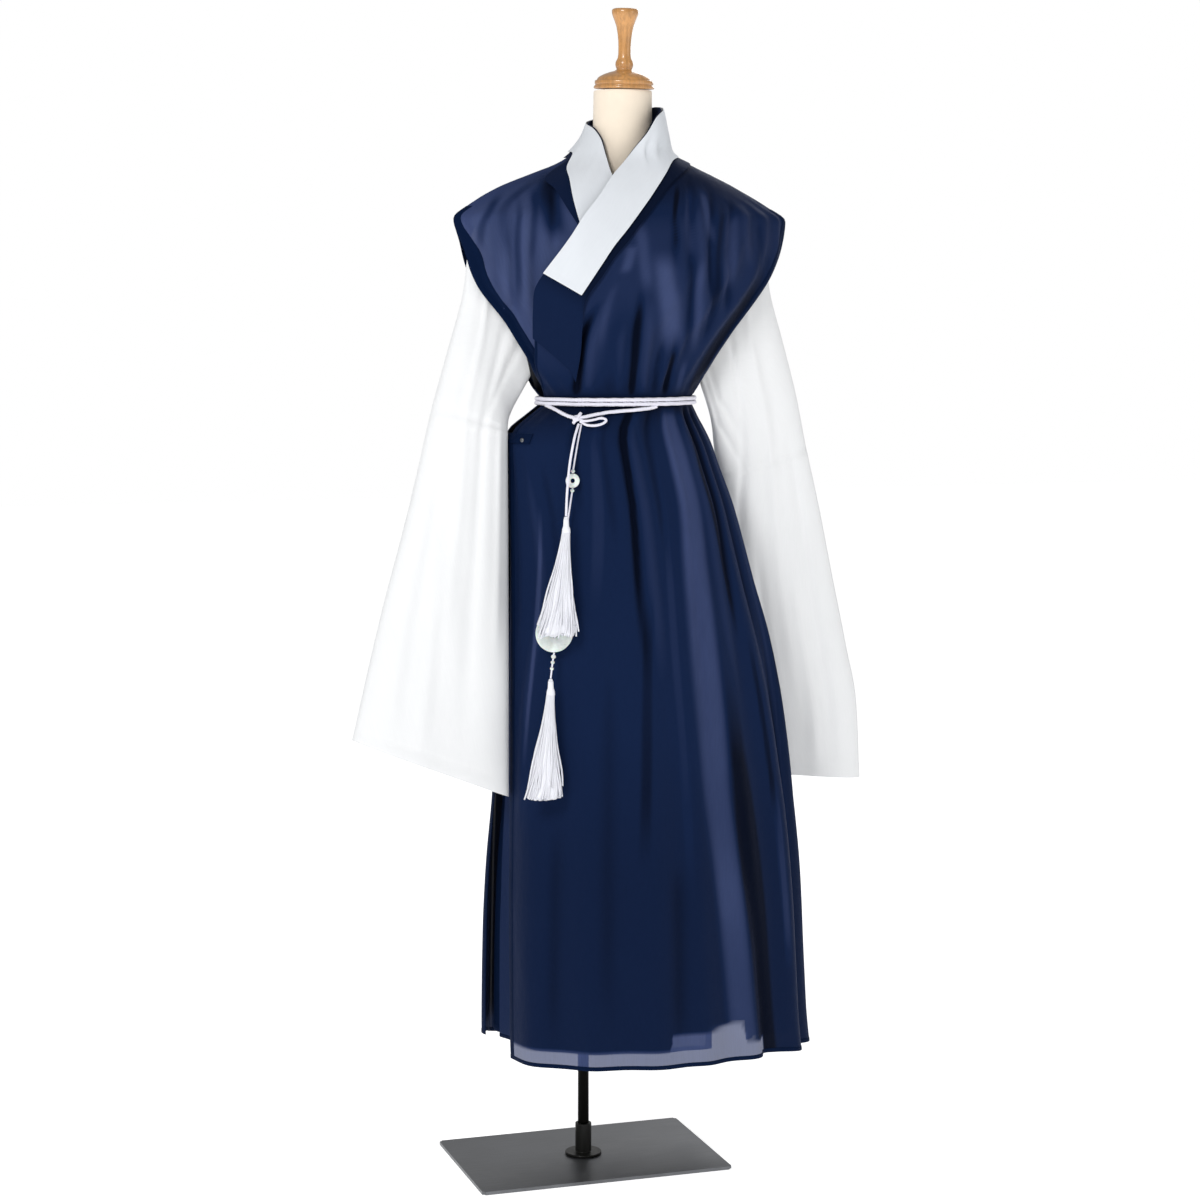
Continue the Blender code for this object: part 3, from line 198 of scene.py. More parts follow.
BACK_SKIRT_STREAKS = [
    (4, -0.1, 1, 259.5, 0.6, 259.5, 0.166, 260), (2.2, -0.14, 0.95, 250.5, 0.6, 250.5, 0.166, 251.5),
    (5, -0.22, 1.1, 216, 0.7, 219, 0.166, 222), (4.4, -0.22, 1.12, 176, 0.75, 177, 0.166, 178),
    (4.6, -0.24, 1.1, 137, 0.74, 141, 0.186, 145), (3.6, -0.18, 0.98, 112, 0.62, 115, 0.186, 118),
]
SKIRT_STREAKS = [
    (6.4, -0.5, 1.15, 28.5, 1.055, 28, 0.931, 24, 0.782, 20.4, 0.611, 19.6, 0.474, 22, 0.29, 25),
    (6, -0.4, 0.6, 19.7, 0.474, 22, 0.29, 25, 0.186, 26.5),
    (4.4, 0.34, 0.84, 30.5, 0.668, 31.4, 0.546, 34.2, 0.392, 37, 0.186, 39.6),
    (1.5, 0.32, 1.15, -1.4, 1.028, -3.5, 0.88, -6.9), (1.6, 0.32, 1.15, 46.3, 1.054, 42.2, 0.935, 42.1, 0.79, 40.3),
    (2.2, 0.16, 0.9, -1.3, 0.765, -6.9, 0.647, -9.5, 0.48, -12.6),
    (1.4, -0.34, 1.02, -52.7, 0.897, -56.4, 0.764, -62.9, 0.63, -69.7), (2.6, -0.28, 0.6, 53.4, 0.46, 54.4, 0.3, 56),
    (3.2, -0.1, 1.15, -16.5, 1, -21.5, 0.825, -29),
    (1.8, -0.1, 1.09, 14.6, 0.94, 9.8, 0.763, 6.1, 0.6, 5.9, 0.42, 5.5),
    (1.8, 0.2, 0.83, 48.2, 0.66, 50.9, 0.47, 53.8),
]
# Painted shade of the creases: how much a crease of one metre darkens the front and the back in its trough and
# lightens them on its ridge, and the angles where that fades out.
CREASE_PAINTED_SHADE = (42.0, 32.0)
CREASE_PAINTED_SHADE_FADES = (230, 244)
# How much darker the sheer cloth is made towards the hem and towards the tops of the shoulders, and over what heights;
# and how much and how far from the belt, where the gathered cloth bunches and painted shade falls in its gathers.
LOWER_SKIRT_DARKENING, LOWER_SKIRT_DARKENING_HEIGHTS = 0.09, (0.45, 0.80)
SHOULDER_DARKENING, SHOULDER_DARKENING_HEIGHTS = 0.30, (1.41, 1.50)
BELT_BUNCHING_AND_SHADE, BELT_BUNCHING_AND_SHADE_REACH = 0.35, 0.025
# The inner skirt behind it ends at this angle, and below its hem the front looks like one flat layer.
LINED_UP_TO = 37

# The right front runs under the left one, and from these angles on it comes out to meet the back at the shoulder.
RISE_ANGLES = [
    (1.17, 90), (1.27, 90), (1.317, 56), (1.36, 46), (1.4, 48), (1.44, 56), (1.48, 62), (1.5, 68), (1.528, 78),
]
# How far past the armhole's angle the right front reaches over the sleeve, and how far forward it stays.
OVER_SLEEVE_ANGLES = [
    (1.17, 0), (1.19, 6), (1.2, 10), (1.218, 16), (1.266, 17), (1.317, 14), (1.36, 10), (1.4, 5), (1.44, 0),
]
OVER_SLEEVE_DEPTH = -0.089
OVER_SLEEVE_STARTS, OVER_SLEEVE_ENDS = (1.195, 1.235), (1.37, 1.43)

# Edges of the crossed fronts and of the open inner skirt: height, angle.
LEFT_FRONT_EDGE = [
    (0.186, -79), (1.1, -80), (1.17, -84), (1.19, -75), (1.26, -54.5), (1.296, -48), (1.351, -36), (1.42, -20),
    (1.496, -4), (1.533, 20),
]
RIGHT_FRONT_EDGE = [
    (0.186, 12), (1.1, 32), (1.17, 45), (1.19, 42), (1.25, 20), (1.3, 8), (1.36, -3), (1.408, -10), (1.45, -14),
    (1.5, -24), (1.533, -48),
]
INNER_FRONT_EDGE = [
    (0.186, 19), (0.28, 19), (0.61, 13.5), (0.78, 16), (0.93, 20), (1.08, 26), (1.19, 27),
]
INNER_BACK_EDGE = [
    (0.186, 29), (0.28, 29), (0.61, 29.5), (0.75, 30), (0.91, 31), (1.03, 34.5), (1.19, 36),
]

# upper angle, upper height, lower angle, lower height, layer: 0 right, 1 left
COLLAR_ROWS = [
    (-5.3, 1.462, -18, 1.398, 0), (-8.9, 1.477, -21.5, 1.418, 0), (-15.5, 1.496, -22, 1.431, 0),
    (-31, 1.526, -26.7, 1.463, 0), (-57, 1.552, -38.5, 1.492, 0.05), (-80, 1.566, -56, 1.509, 0.3),
    (-100, 1.573, -76, 1.5295, 0.75), (-120, 1.578, -103, 1.533, 1), (-145, 1.584, -138, 1.534, 1),
    (-180, 1.592, -180, 1.533, 1), (-225, 1.597, -220, 1.534, 1), (-270, 1.6, -270, 1.532, 1),
    (-304, 1.593, -300, 1.526, 1), (-334, 1.579, -329.6, 1.518, 1), (-349, 1.558, -345.4, 1.4995, 1),
    (-360, 1.538, -353, 1.479, 1), (-373.4, 1.514, -358.6, 1.458, 1), (-375.6, 1.495, -363, 1.438, 1),
    (-376.6, 1.466, -367.3, 1.416, 1), (-379.7, 1.44, -371.6, 1.395, 1), (-385.3, 1.4075, -375.5, 1.371, 1),
    (-396.5, 1.355, -384.5, 1.3235, 1),
]
COLLAR_TAIL_ROWS = [
    (-401.5, 1.335, -386.5, 1.296, 1), (-407, 1.302, -390, 1.258, 1), (-414, 1.262, -399, 1.215, 1),
]
COLLAR_WIDENING = 0.016
COLLAR_CLOTH = 0.0010

# outer x, outer height, inner x, inner height, depth, half thickness
RIGHT_SLEEVE_ROWS = [
    (-0.172, 1.446, -0.1, 1.205, -0.058, 0.019), (-0.19, 1.4, -0.116, 1.178, -0.058, 0.02),
    (-0.2, 1.331, -0.128, 1.158, -0.06, 0.022), (-0.225, 1.247, -0.136, 1.142, -0.066, 0.026),
    (-0.251, 1.1615, -0.1388, 1.1275, -0.071, 0.029), (-0.277, 1.058, -0.1395, 1.035, -0.074, 0.031),
    (-0.301, 0.969, -0.1395, 0.93, -0.075, 0.032), (-0.329, 0.869, -0.1395, 0.82, -0.075, 0.032),
    (-0.35, 0.786, -0.1395, 0.72, -0.075, 0.031), (-0.375, 0.682, -0.14, 0.587, -0.075, 0.03),
]
LEFT_SLEEVE_ROWS = [
    (0.252, 1.44, 0.16, 1.212, -0.058, 0.019), (0.268, 1.398, 0.172, 1.178, -0.058, 0.02),
    (0.276, 1.337, 0.181, 1.155, -0.055, 0.022), (0.3, 1.262, 0.19, 1.132, -0.046, 0.024),
    (0.328, 1.182, 0.199, 1.1, -0.032, 0.027), (0.356, 1.0915, 0.2125, 1.0535, -0.0115, 0.029),
    (0.388, 0.998, 0.226, 0.96, 0.012, 0.031), (0.42, 0.891, 0.246, 0.86, 0.034, 0.031),
    (0.452, 0.775, 0.268, 0.745, 0.05, 0.031), (0.474, 0.684, 0.286, 0.655, 0.058, 0.03),
    (0.483, 0.56, 0.3, 0.578, 0.062, 0.028),
]
SLEEVE_RIPPLE = 0.0045
# Creases of the sleeves' front, -1, and back, 1: half width, rise or depth, then way down and way across of each
# point. The way across runs from -1 at the under edge to 1 at the top edge.
RIGHT_SLEEVE_CREASES = {
    -1: [
        (0.1, 0.003, 0.05, 0.4, 0.25, 0.25, 0.5, 0.1, 0.8, 0.05),
        (0.1, -0.0032, 0.15, -0.2, 0.4, -0.25, 0.7, -0.3, 1, -0.32),
        (0.09, -0.003, 0.3, 0.62, 0.6, 0.55, 0.9, 0.5, 1, 0.5), (0.08, 0.003, 0.2, -0.7, 0.45, -0.72, 0.75, -0.74),
        (0.07, 0.0028, 0.55, 0.3, 0.8, 0.24, 1, 0.22), (0.07, -0.003, 0.05, -0.55, 0.22, -0.35, 0.34, -0.1),
    ],
    1: [
        (0.1, -0.004, 0.1, 0.3, 0.45, 0.15, 0.95, 0.05), (0.1, 0.0035, 0.2, -0.4, 0.6, -0.45, 1, -0.5),
        (0.09, 0.003, 0.25, 0.7, 0.6, 0.62, 1, 0.6),
    ],
}
LEFT_SLEEVE_CREASES = {
    -1: [
        (0.07, -0.0042, 0.05, -0.25, 0.25, -0.45, 0.45, -0.7, 0.58, -0.8),
        (0.1, 0.0032, 0.1, 0.2, 0.35, 0.05, 0.6, -0.1, 0.9, -0.15),
        (0.08, -0.0034, 0.25, 0.55, 0.5, 0.5, 0.8, 0.42, 1, 0.4), (0.08, -0.0034, 0.45, -0.4, 0.7, -0.5, 1, -0.52),
        (0.07, 0.003, 0.55, 0.15, 0.8, 0.12, 1, 0.1), (0.05, -0.003, 0.12, -0.8, 0.22, -0.6, 0.3, -0.4),
        (0.05, -0.0026, 0.18, -0.92, 0.28, -0.7, 0.36, -0.5),
    ],
    1: [
        (0.1, -0.004, 0.1, 0.3, 0.45, 0.2, 0.95, 0.1), (0.1, 0.0035, 0.2, -0.4, 0.6, -0.45, 1, -0.5),
        (0.08, 0.003, 0.3, 0.75, 0.7, 0.66, 1, 0.62),
    ],
}


# ---------------------------------------------------------------- reading tables and sections
def row_before(keys, at):
    return np.clip(np.searchsorted(keys, at, side="right") - 1, 0, len(keys) - 2)


def between_rows(values, tangents, row, t, run):
    """The smooth curve from each of these rows to the next, t of the way along it."""
    return (
        values[row] * (1 + 2 * t) * (1 - t) ** 2
        + values[row + 1] * t**2 * (3 - 2 * t)
        + tangents[row] * run * t * (1 - t) ** 2
        - tangents[row + 1] * run * t**2 * (1 - t)
    )


def smooth_read(keys, values, at):
    """Reads a table along smooth curves through its rows that never overshoot them."""
    keys, values = np.asarray(keys, float), np.asarray(values, float)
    flat = values.ndim == 1
    values = values[:, None] if flat else values
    runs = np.diff(keys)[:, None]
    slopes = np.diff(values, axis=0) / runs
    tangents = np.zeros_like(values)
    before, after = slopes[:-1], slopes[1:]
    total = np.where(np.abs(before + after) < 1e-12, 1.0, before + after)
    tangents[1:-1] = np.where(before * after > 0, 2 * before * after / total, 0.0)
    tangents[0], tangents[-1] = slopes[0], slopes[-1]
    at = np.clip(np.asarray(at, float), keys[0], keys[-1])
    row = row_before(keys, at)
    found = between_rows(values, tangents, row, (at - keys[row])[..., None] / runs[row], runs[row])
    return found[..., 0] if flat else found


def curve_through(keys, points, at):
    """Points at these places along smooth curves through rows of points."""
    row = row_before(keys, at)
    run = keys[row + 1] - keys[row]
    wide = (slice(None),) + (None,) * (points.ndim - 1)
    return between_rows(points, np.gradient(points, keys, axis=0), row, ((at - keys[row]) / run)[wide], run[wide])


def table_read(rows, at):
    """Reads (value, result) rows, in rising order, along a smooth curve."""
    return smooth_read(*zip(*rows), at)


def edge_at(rows):
    """The angle of an edge at each height, read from its table."""
    return lambda height: table_read(rows, height)


def constant(angle):
    return lambda height: angle + 0 * height


def eased(value, low, high):
    share = np.clip((value - low) / (high - low), 0, 1)
    return share * share * (3 - 2 * share)


def swell(angle, at, half_width):
    """1 at one angle, falling off softly to both sides."""
    return np.exp(-1.6 * (((angle - at + 180) % 360 - 180) / half_width) ** 2)


def section(height):
    """Centre, half width, edge angle, middle, front, back and power of the cloth section at each height."""
    left, right, *rest = np.moveaxis(smooth_read(SECTIONS[:, 0], SECTIONS[:, 1:], height), -1, 0)
    return (left + right) / 2, (right - left) / 2 / np.sin(np.radians(rest[0])), *rest


def below_belt(height):
    """0 at the belt, 1 at the hem."""
    return (BELT_HEIGHT - height) / (BELT_HEIGHT - HEM_HEIGHT)


def fold_rise(angle, height):
    """How far the broad folds stand out from the plain section."""
    rise = np.zeros(np.broadcast(angle, height).shape)
    down = np.clip(below_belt(height), 0, 1.2)
    for hem_angle, belt_angle, most, half_width, top in SKIRT_FOLDS:
        at = belt_angle + (hem_angle - belt_angle) * np.minimum(1.0, down * 1.6)
        strength = eased(top - height, 0.0, 0.45) * (0.45 + 0.55 * down)
        rise = rise + np.where(height < BELT_HEIGHT, most * strength * swell(angle, at, half_width), 0.0)
    up = np.clip((height - BELT_HEIGHT) / (CHEST_FOLD_TOP - BELT_HEIGHT), 0, 1)
    for shoulder_angle, belt_angle, most, half_width in CHEST_FOLDS:
        at = belt_angle + (shoulder_angle - belt_angle) * up
        rise = rise + most * np.sin(math.pi * up) ** 0.6 * swell(angle, at, half_width)
    return rise


def gather_rise(angle, height, depth):
    """Small uneven gathers that fan out from the belt."""
    away = np.abs(height - BELT_HEIGHT)
    close = (away / 0.020) ** 2 * np.exp(1 - (away / 0.020) ** 2)
    far = eased(away, 0.004, 0.05) * np.exp(-away / np.where(height < BELT_HEIGHT, 0.10, 0.06))
    turn = np.radians(angle)
    drift = 1.5 * np.sin(2.3 * turn + 0.7) + 0.9 * np.sin(5.1 * turn + 2.0)
    pleat = 0.5 + 0.5 * np.cos(BELT_GATHER_COUNT * turn + 1.4 * drift + 9 * (height - BELT_HEIGHT))
    second = 0.5 + 0.5 * np.cos(23 * turn - 1.1 * drift + 1.3 - 14 * (height - BELT_HEIGHT))
    uneven = 0.35 + 0.65 * (0.5 + 0.5 * np.sin(3.3 * turn + 1.1)) * (0.6 + 0.4 * np.sin(7.7 * turn + 0.4))
    return BELT_GATHER_RISE * 0.6 * close * pleat + depth * far * uneven * (0.6 * pleat**1.5 + 0.5 * second**2)


def line_rise(lines, across, along, edge_power=2):
    """Troughs and ridges along lines that fade in and out at their ends; a higher power gives them crisper sides."""
    rise = np.zeros(np.broadcast(across, along).shape)
    for half_width, amount, *line in lines:
        points = sorted(zip(line[::2], line[1::2]))
        low, high = points[0][0], points[-1][0]
        length = high - low
        fade = eased(along, low - 0.02 * length, low + 0.30 * length)
        fade = fade * (1 - eased(along, high - 0.22 * length, high + 0.03 * length))
        if low <= HEM_HEIGHT + 1e-6:
            fade = 1 - eased(along, high - 0.45 * length, high)
        if low == OVER_BELT:
            fade = 1 - eased(along, high - 0.4 * length, high)
            fade = fade * eased(np.abs(along - CORD_EDGE_OVER), 0.0, 0.02)
        elif abs(high - UNDER_BELT) < 0.012:
            fade = eased(along, low, low + 0.45 * length)
            fade = fade * eased(np.abs(along - CORD_EDGE_UNDER), 0.0, 0.02)
        at = table_read(points, along)
        rise = rise + amount * fade * np.exp(-np.abs((across - at) / half_width) ** edge_power)
    return rise


# Across, along, phase and share of each wave.
CRUMPLE_WAVES = [
    (61, 17, 0.4, 0.3), (-43, 29, 1.9, 0.3), (97, -12, 2.7, 0.22), (131, 41, 5.1, 0.12), (23, 53, 3.3, 0.2),
]


def crumple(across, height, size):
    """Faint soft creasing all over, from a few crossing waves."""
    total = 0.0
    for a, b, phase, amount in CRUMPLE_WAVES:
        total = total + amount * np.sin(a * across + b * height + phase + 1.3 * np.sin(19 * height + 7 * across))
    return size * total


def sheer_layers_and_painted_shade(spots, bodice, skirt, chest_streaks, skirt_streaks, hem_low):
    """How dense and dark the sheer cloth looks: near 0 in one flat layer, 1 where it folds on itself. Painted shade and
    highlights are added in: darker in crease troughs and by the belt's gathers, lighter on crease ridges, and along
    streaks.
    """
    x, height = spots[..., 0], spots[..., 2]
    centre, half, _, middle = section(height)[:4]
    sideways = np.degrees(np.arcsin(np.clip((x - centre) / half, -1, 1)))
    front = spots[..., 1] < middle
    angle = np.where(front, sideways, 180 - sideways)
    above = height > BELT_HEIGHT
    chest = np.where(front, line_rise(FRONT_CREASES, x, height), line_rise(BACK_CREASES, x, height))
    fading = 1 - 0.8 * eased(angle, *CREASE_PAINTED_SHADE_FADES)
    crease = np.where(above, chest, line_rise(SKIRT_CREASES, angle, height) * fading)
    # Darker towards the hem and towards the tops of the shoulders.
    lower = skirt + LOWER_SKIRT_DARKENING * (1 - eased(height, *LOWER_SKIRT_DARKENING_HEIGHTS))
    depth = np.where(above, bodice + SHOULDER_DARKENING * eased(height, *SHOULDER_DARKENING_HEIGHTS), lower)
    # Painted shade in the troughs of the creases and painted highlights on their ridges.
    depth = depth - np.where(front, *CREASE_PAINTED_SHADE) * crease
    # Darker by the belt: the cloth bunched in its gathers, with painted shade in them.
    depth = depth + BELT_BUNCHING_AND_SHADE * np.exp(-np.abs(height - BELT_HEIGHT) / BELT_BUNCHING_AND_SHADE_REACH)
    # Streaks of painted light and shade, and strips where the cloth lies doubled and where it lies in one layer.
    for lines, across, there, power in ((chest_streaks, x, above, 3), (skirt_streaks, angle, ~above, 5)):
        depth = depth + np.where(there, line_rise(lines, across, height, power), 0.0)
    edge = np.where(front & (angle < LINED_UP_TO), hem_low(angle), 0.0)
    return np.clip(depth * eased(height, edge - 0.003, edge + 0.001), 0.0, 1.0)


def cloth(angle, height, inset=0.0, folds=1.0, creases=1.0, tuck=0.0):
    """Points on the cloth. The angle runs from 0 at the front, + towards the wearer's left."""
    angle, height = np.broadcast_arrays(np.asarray(angle, float), np.asarray(height, float))
    centre, half, _, middle, front, back, power = section(height)
    turn = np.radians(angle)
    sine, cosine = np.sin(turn), np.cos(turn)
    inward = inset + tuck
    depth = np.where(cosine > 0, front, back) - inward
    x = centre + (half - inward) * sine
    y = middle - depth * np.sign(cosine) * np.abs(cosine) ** (2 * power)
    mean_depth = front * (1 + cosine) / 2 + back * (1 - cosine) / 2
    outward = np.stack([mean_depth * sine, -half * cosine, np.zeros_like(sine)], -1)
    outward /= np.maximum(np.linalg.norm(outward, axis=-1, keepdims=True), 1e-9)
    rise = folds * fold_rise(angle, height) + gather_rise(angle, height, GATHER_DEPTH * creases)
    if creases:
        away = (angle + 80) % 360 - 80
        chest = line_rise(FRONT_CREASES, x, height) * eased(cosine, 0.0, 0.25)
        chest = chest + line_rise(BACK_CREASES, x, height) * eased(-cosine, 0.0, 0.25)
        rise = rise + creases * np.where(height < BELT_HEIGHT, line_rise(SKIRT_CREASES, away, height), chest)
        rise = rise + crumple(half * turn, height, CRUMPLE_DEPTH * creases)
    return np.stack([x, y, height], -1) + outward * rise[..., None]


def on_front(x, height, out):
    """The point of the plain front surface at this x, moved out."""
    centre, half = section(np.array(height))[:2]
    angle = math.degrees(math.asin(max(-1.0, min(1.0, float((x - centre) / half)))))
    return Vector(cloth(angle, height, -out, 1.0, 0.0))


def armhole_angle(height):
    """The armhole's angle, no further round than where the front and back panels meet."""
    _, _, edge, _, front, back, power = section(height)
    seam = np.degrees(np.arccos((0.00035 / np.minimum(front, back)) ** (1 / (2 * power))))
    return np.minimum(edge, seam)


# ---------------------------------------------------------------- meshes
# Strands of a braid, how thick they are for its radius, how deep they sit and how far they rise over each other.
BRAID_STRANDS = 6
STRAND_SHARE, STRAND_SINK, STRAND_RISE = 2.05, 0.92, 0.35
# A fold wider than this gets more rows, and every fold reaches a little past the cut edge in it.
WIDE_FOLD = 0.015
FOLD_OVERHANG = 0.0004


def ordered_heights(low, high, step):
    return np.linspace(low, high, max(2, round((high - low) / step) + 1))


def full_turn(steps):
    return np.arange(steps) / steps * 2 * math.pi


def unit(arrows):
    return arrows / np.maximum(np.linalg.norm(arrows, axis=-1, keepdims=True), 1e-12)


def run_lengths(grid, axis=0):
    """Distance along each row or column of a grid of points, from its first point."""
    steps = np.linalg.norm(np.diff(grid, axis=axis), axis=-1)
    lead = np.zeros_like(np.take(steps, [0], axis=axis))
    return np.concatenate([lead, np.cumsum(steps, axis=axis)], axis=axis)


def grid_normals(grid):
    return unit(np.cross(np.gradient(grid, axis=1), np.gradient(grid, axis=0)))


def quad_corners(grid):
    return np.stack([grid[:-1, :-1], grid[:-1, 1:], grid[1:, 1:], grid[1:, :-1]], 2)


def fill(items, key, values, kind=np.float32):
    items.foreach_set(key, np.concatenate(values).astype(kind).ravel())


class Sewing:
    """Collects grids of points, each with its material number, into one mesh."""

    def __init__(self):
        self.points, self.faces, self.maps, self.finishes, self.depths, self.count = [], [], [], [], [], 0

    def add(self, grid, finish=0, closed=False, flip=False, depth=0.0):
        grid = np.asarray(grid, float)
        rows, columns = grid.shape[:2]
        number = np.arange(rows * columns).reshape(rows, columns) + self.count
        if closed:
            number = np.concatenate([number, number[:, :1]], axis=1)
        wrapped = np.concatenate([grid, grid[:, :1]], axis=1) if closed else grid
        quads = quad_corners(number).reshape(-1, 4)
        corners = quad_corners(np.stack([run_lengths(wrapped, 1), run_lengths(wrapped, 0)], -1)).reshape(-1, 4, 2)
        if flip:
            quads, corners = quads[:, ::-1], corners[:, ::-1]
        self.points.append(grid.reshape(-1, 3))
        self.faces.append(quads)
        self.maps.append(corners.reshape(-1, 2))
        self.finishes.append(np.full(len(quads), finish))
        self.depths.append(np.broadcast_to(depth, (rows, columns)).ravel())
        self.count += rows * columns
        return self

    def build(self, name, *finishes):
        corners = 4 * sum(len(quads) for quads in self.faces)
        mesh = bpy.data.meshes.new(name)
        mesh.vertices.add(self.count)
        mesh.loops.add(corners)
        mesh.polygons.add(corners // 4)
        fill(mesh.vertices, "co", self.points)
        fill(mesh.loops, "vertex_index", self.faces, np.int32)
        fill(mesh.polygons, "loop_start", [np.arange(0, corners, 4)], np.int32)
        fill(mesh.polygons, "material_index", self.finishes, np.int32)
        fill(mesh.polygons, "use_smooth", [np.ones(corners // 4)], bool)
        fill(mesh.uv_layers.new(name="Threads").data, "uv", self.maps)
        # The Depth read by the sheer finish: the layers of cloth there, with painted shade and highlights added in.
        fill(mesh.attributes.new("Depth", "FLOAT", "POINT").data, "value", self.depths)
        mesh.update(calc_edges=True)
        mesh.validate()
        for finish in finishes:
            mesh.materials.append(finish)
        return in_scene(name, mesh)


def in_scene(name, data):
    """A new object of that name, linked to the scene."""
    thing = bpy.data.objects.new(name, data)
    bpy.context.scene.collection.objects.link(thing)
    return thing


def edge_fold(grid, side, width, thick):
    """The grid of a folded hem that wraps one edge of a cloth grid: outer face, edge, inner face."""
    turned = {
        "bottom": lambda g: g,
        "left": lambda g: g.transpose(1, 0, 2),
        "right": lambda g: g[:, ::-1].transpose(1, 0, 2),
    }[side]
    points, normals = turned(grid), turned(grid_normals(grid))
    lengths = run_lengths(points)
    wide = np.max(width) > WIDE_FOLD
    steps = [1.0, 0.96, 0.84, 0.72, 0.6, 0.48, 0.36, 0.24, 0.10] if wide else [1.0, 0.96, 0.5, 0.10]
    ways = [(share, 0.6 if share == 1.0 else 1.0) for share in steps]
    ways += [(0.0, 0.0)] + [(share, -lift) for share, lift in ways[::-1]]
    strip = []
    for line, normal, length, reach in zip(
        points.swapaxes(0, 1), normals.swapaxes(0, 1), lengths.T, np.broadcast_to(width, points.shape[1])
    ):
        row = []
        for share, lift in ways:
            spot, out = (np.array([np.interp(share * reach, length, way) for way in w.T]) for w in (line, normal))
            if share == 0.0:
                spot = spot - FOLD_OVERHANG * (line[1] - line[0]) / max(1e-9, length[1])
            row.append(spot + out * lift * thick)
        strip.append(row)
    return np.array(strip)


def thick_sheet(outer, inner, depth=0.0):
    """Both faces of a wall and the rim between them."""
    rims = [np.concatenate([face[0], face[1:-1, -1], face[-1, ::-1], face[-2:0:-1, 0]]) for face in (inner, outer)]
    sewing = Sewing().add(outer, depth=depth).add(inner, flip=True, depth=depth)
    return sewing.add(np.stack(rims), closed=True, depth=np.mean(depth))


def tube(points, radius, sides=8, closed=False):
    """Rings round a line of points; radius may be one number or one for each point."""
    points = np.asarray(points, float)
    ahead = unit(np.roll(points, -1, 0) - np.roll(points, 1, 0) if closed else np.gradient(points, axis=0))
    aside = unit(np.cross(ahead, np.where(np.abs(ahead[:, 2:]) > 0.9, [[1.0, 0.0, 0.0]], [[0.0, 0.0, 1.0]])))
    for i in range(1, len(points)):
        aside[i] = unit(aside[i - 1] - ahead[i] * (aside[i - 1] @ ahead[i]))
    turn = full_turn(sides)[:, None]
    radius = np.broadcast_to(np.asarray(radius, float), (len(points),))[:, None, None]
    return points[:, None] + radius * (aside[:, None] * np.cos(turn) + np.cross(ahead, aside)[:, None] * np.sin(turn))


def smooth_route(points, spacing):
    """Points along a curve through the given ones, about spacing apart."""
    points = np.array([tuple(p) for p in points], float)
    ends = np.concatenate([points[:1], points, points[-1:]])
    route = []
    for a, b, c, d in zip(ends, ends[1:], ends[2:], ends[3:]):
        steps = max(1, round(float(np.linalg.norm(c - b)) / spacing))
        for t in np.arange(steps) / steps:
            bend = (2 * a - 5 * b + 4 * c - d) * t**2 + (3 * b - a - 3 * c + d) * t**3
            route.append(0.5 * (2 * b + (c - a) * t + bend))
    return np.array(route + [points[-1]])


def braid(sewing, route, radius, pitch, closed=False):
    """Strands that wind both ways round a line, each passing over and under the others."""
    route = np.asarray(route, float)
    lengths = run_lengths(route)
    whole = lengths[-1] + (float(np.linalg.norm(route[0] - route[-1])) if closed else 0)
    turns = max(1, round(whole / pitch)) if closed else whole / pitch
    frames = tube(route, 1.0, 4, closed) - route[:, None]
    phase = lengths / whole * turns * 2 * math.pi
    thick = radius * STRAND_SHARE / (BRAID_STRANDS**0.5 + 1)
    pairs = BRAID_STRANDS // 2
    for way in (1, -1):
        for k in range(pairs):
            angle = way * phase + 2 * math.pi * k / pairs
            away = radius - thick * STRAND_SINK + STRAND_RISE * thick * np.cos(angle * pairs) * way
            aside, upward = frames[:, 0] * np.cos(angle)[:, None], frames[:, 1] * np.sin(angle)[:, None]
            rings = tube(route + away[:, None] * (aside + upward), thick, 5, closed)
            sewing.add(rings, closed=True)
            if closed:
                sewing.add(rings[[-1, 0]], closed=True)
    return sewing


def lathe(profile, centre, tilt=0.0, steps=48):
    """Rings of a turned shape from (radius, height) points, from the top down."""
    radius, z = np.array(profile, float).T[..., None]
    turn = full_turn(steps)
    y, z = radius * np.sin(turn), z + 0 * turn
    sine, cosine = math.sin(tilt), math.cos(tilt)
    rings = np.stack([radius * np.cos(turn), y * cosine - z * sine, y * sine + z * cosine], -1)
    return (rings + np.array(centre))[::-1]


# ---------------------------------------------------------------- finishes
def plug(tree, inputs, values):
    """Links or sets each named input."""
    for key, value in values.items():
        if hasattr(value, "is_output"):
            tree.links.new(value, inputs[key])
        else:
            inputs[key].default_value = value


def node(tree, kind, inputs=None, **settings):
    made = tree.nodes.new(kind)
    for key, value in settings.items():
        setattr(made, key, value)
    plug(tree, made.inputs, inputs or {})
    return made


def threads_of(tree):
    return node(tree, "ShaderNodeUVMap", uv_map="Threads").outputs["UV"]


def place_on(tree):
    return node(tree, "ShaderNodeTexCoord").outputs["Object"]


def noise(tree, where, scale, detail=2.0, roughness=0.5):
    """Soft noise; three scales stretch it along the axes."""
    if isinstance(scale, tuple):
        where, scale = node(tree, "ShaderNodeMapping", {"Vector": where, "Scale": scale}).outputs["Vector"], 1.0
    made = node(tree, "ShaderNodeTexNoise", {"Vector": where, "Scale": scale, "Detail": detail, "Roughness": roughness})
    return made.outputs["Fac"]


def crossed(tree, where, *ways):
    """Two sets of threads that cross: the pitch and waviness of each."""
    bands = []
    for direction, (pitch, waviness) in zip("XY", ways):
        inputs = {"Vector": where, "Scale": 0.314 / pitch, "Distortion": waviness}
        bands.append(node(tree, "ShaderNodeTexWave", inputs, bands_direction=direction).outputs["Fac"])
    return node(tree, "ShaderNodeMath", dict(enumerate(bands)), operation="MULTIPLY").outputs[0]


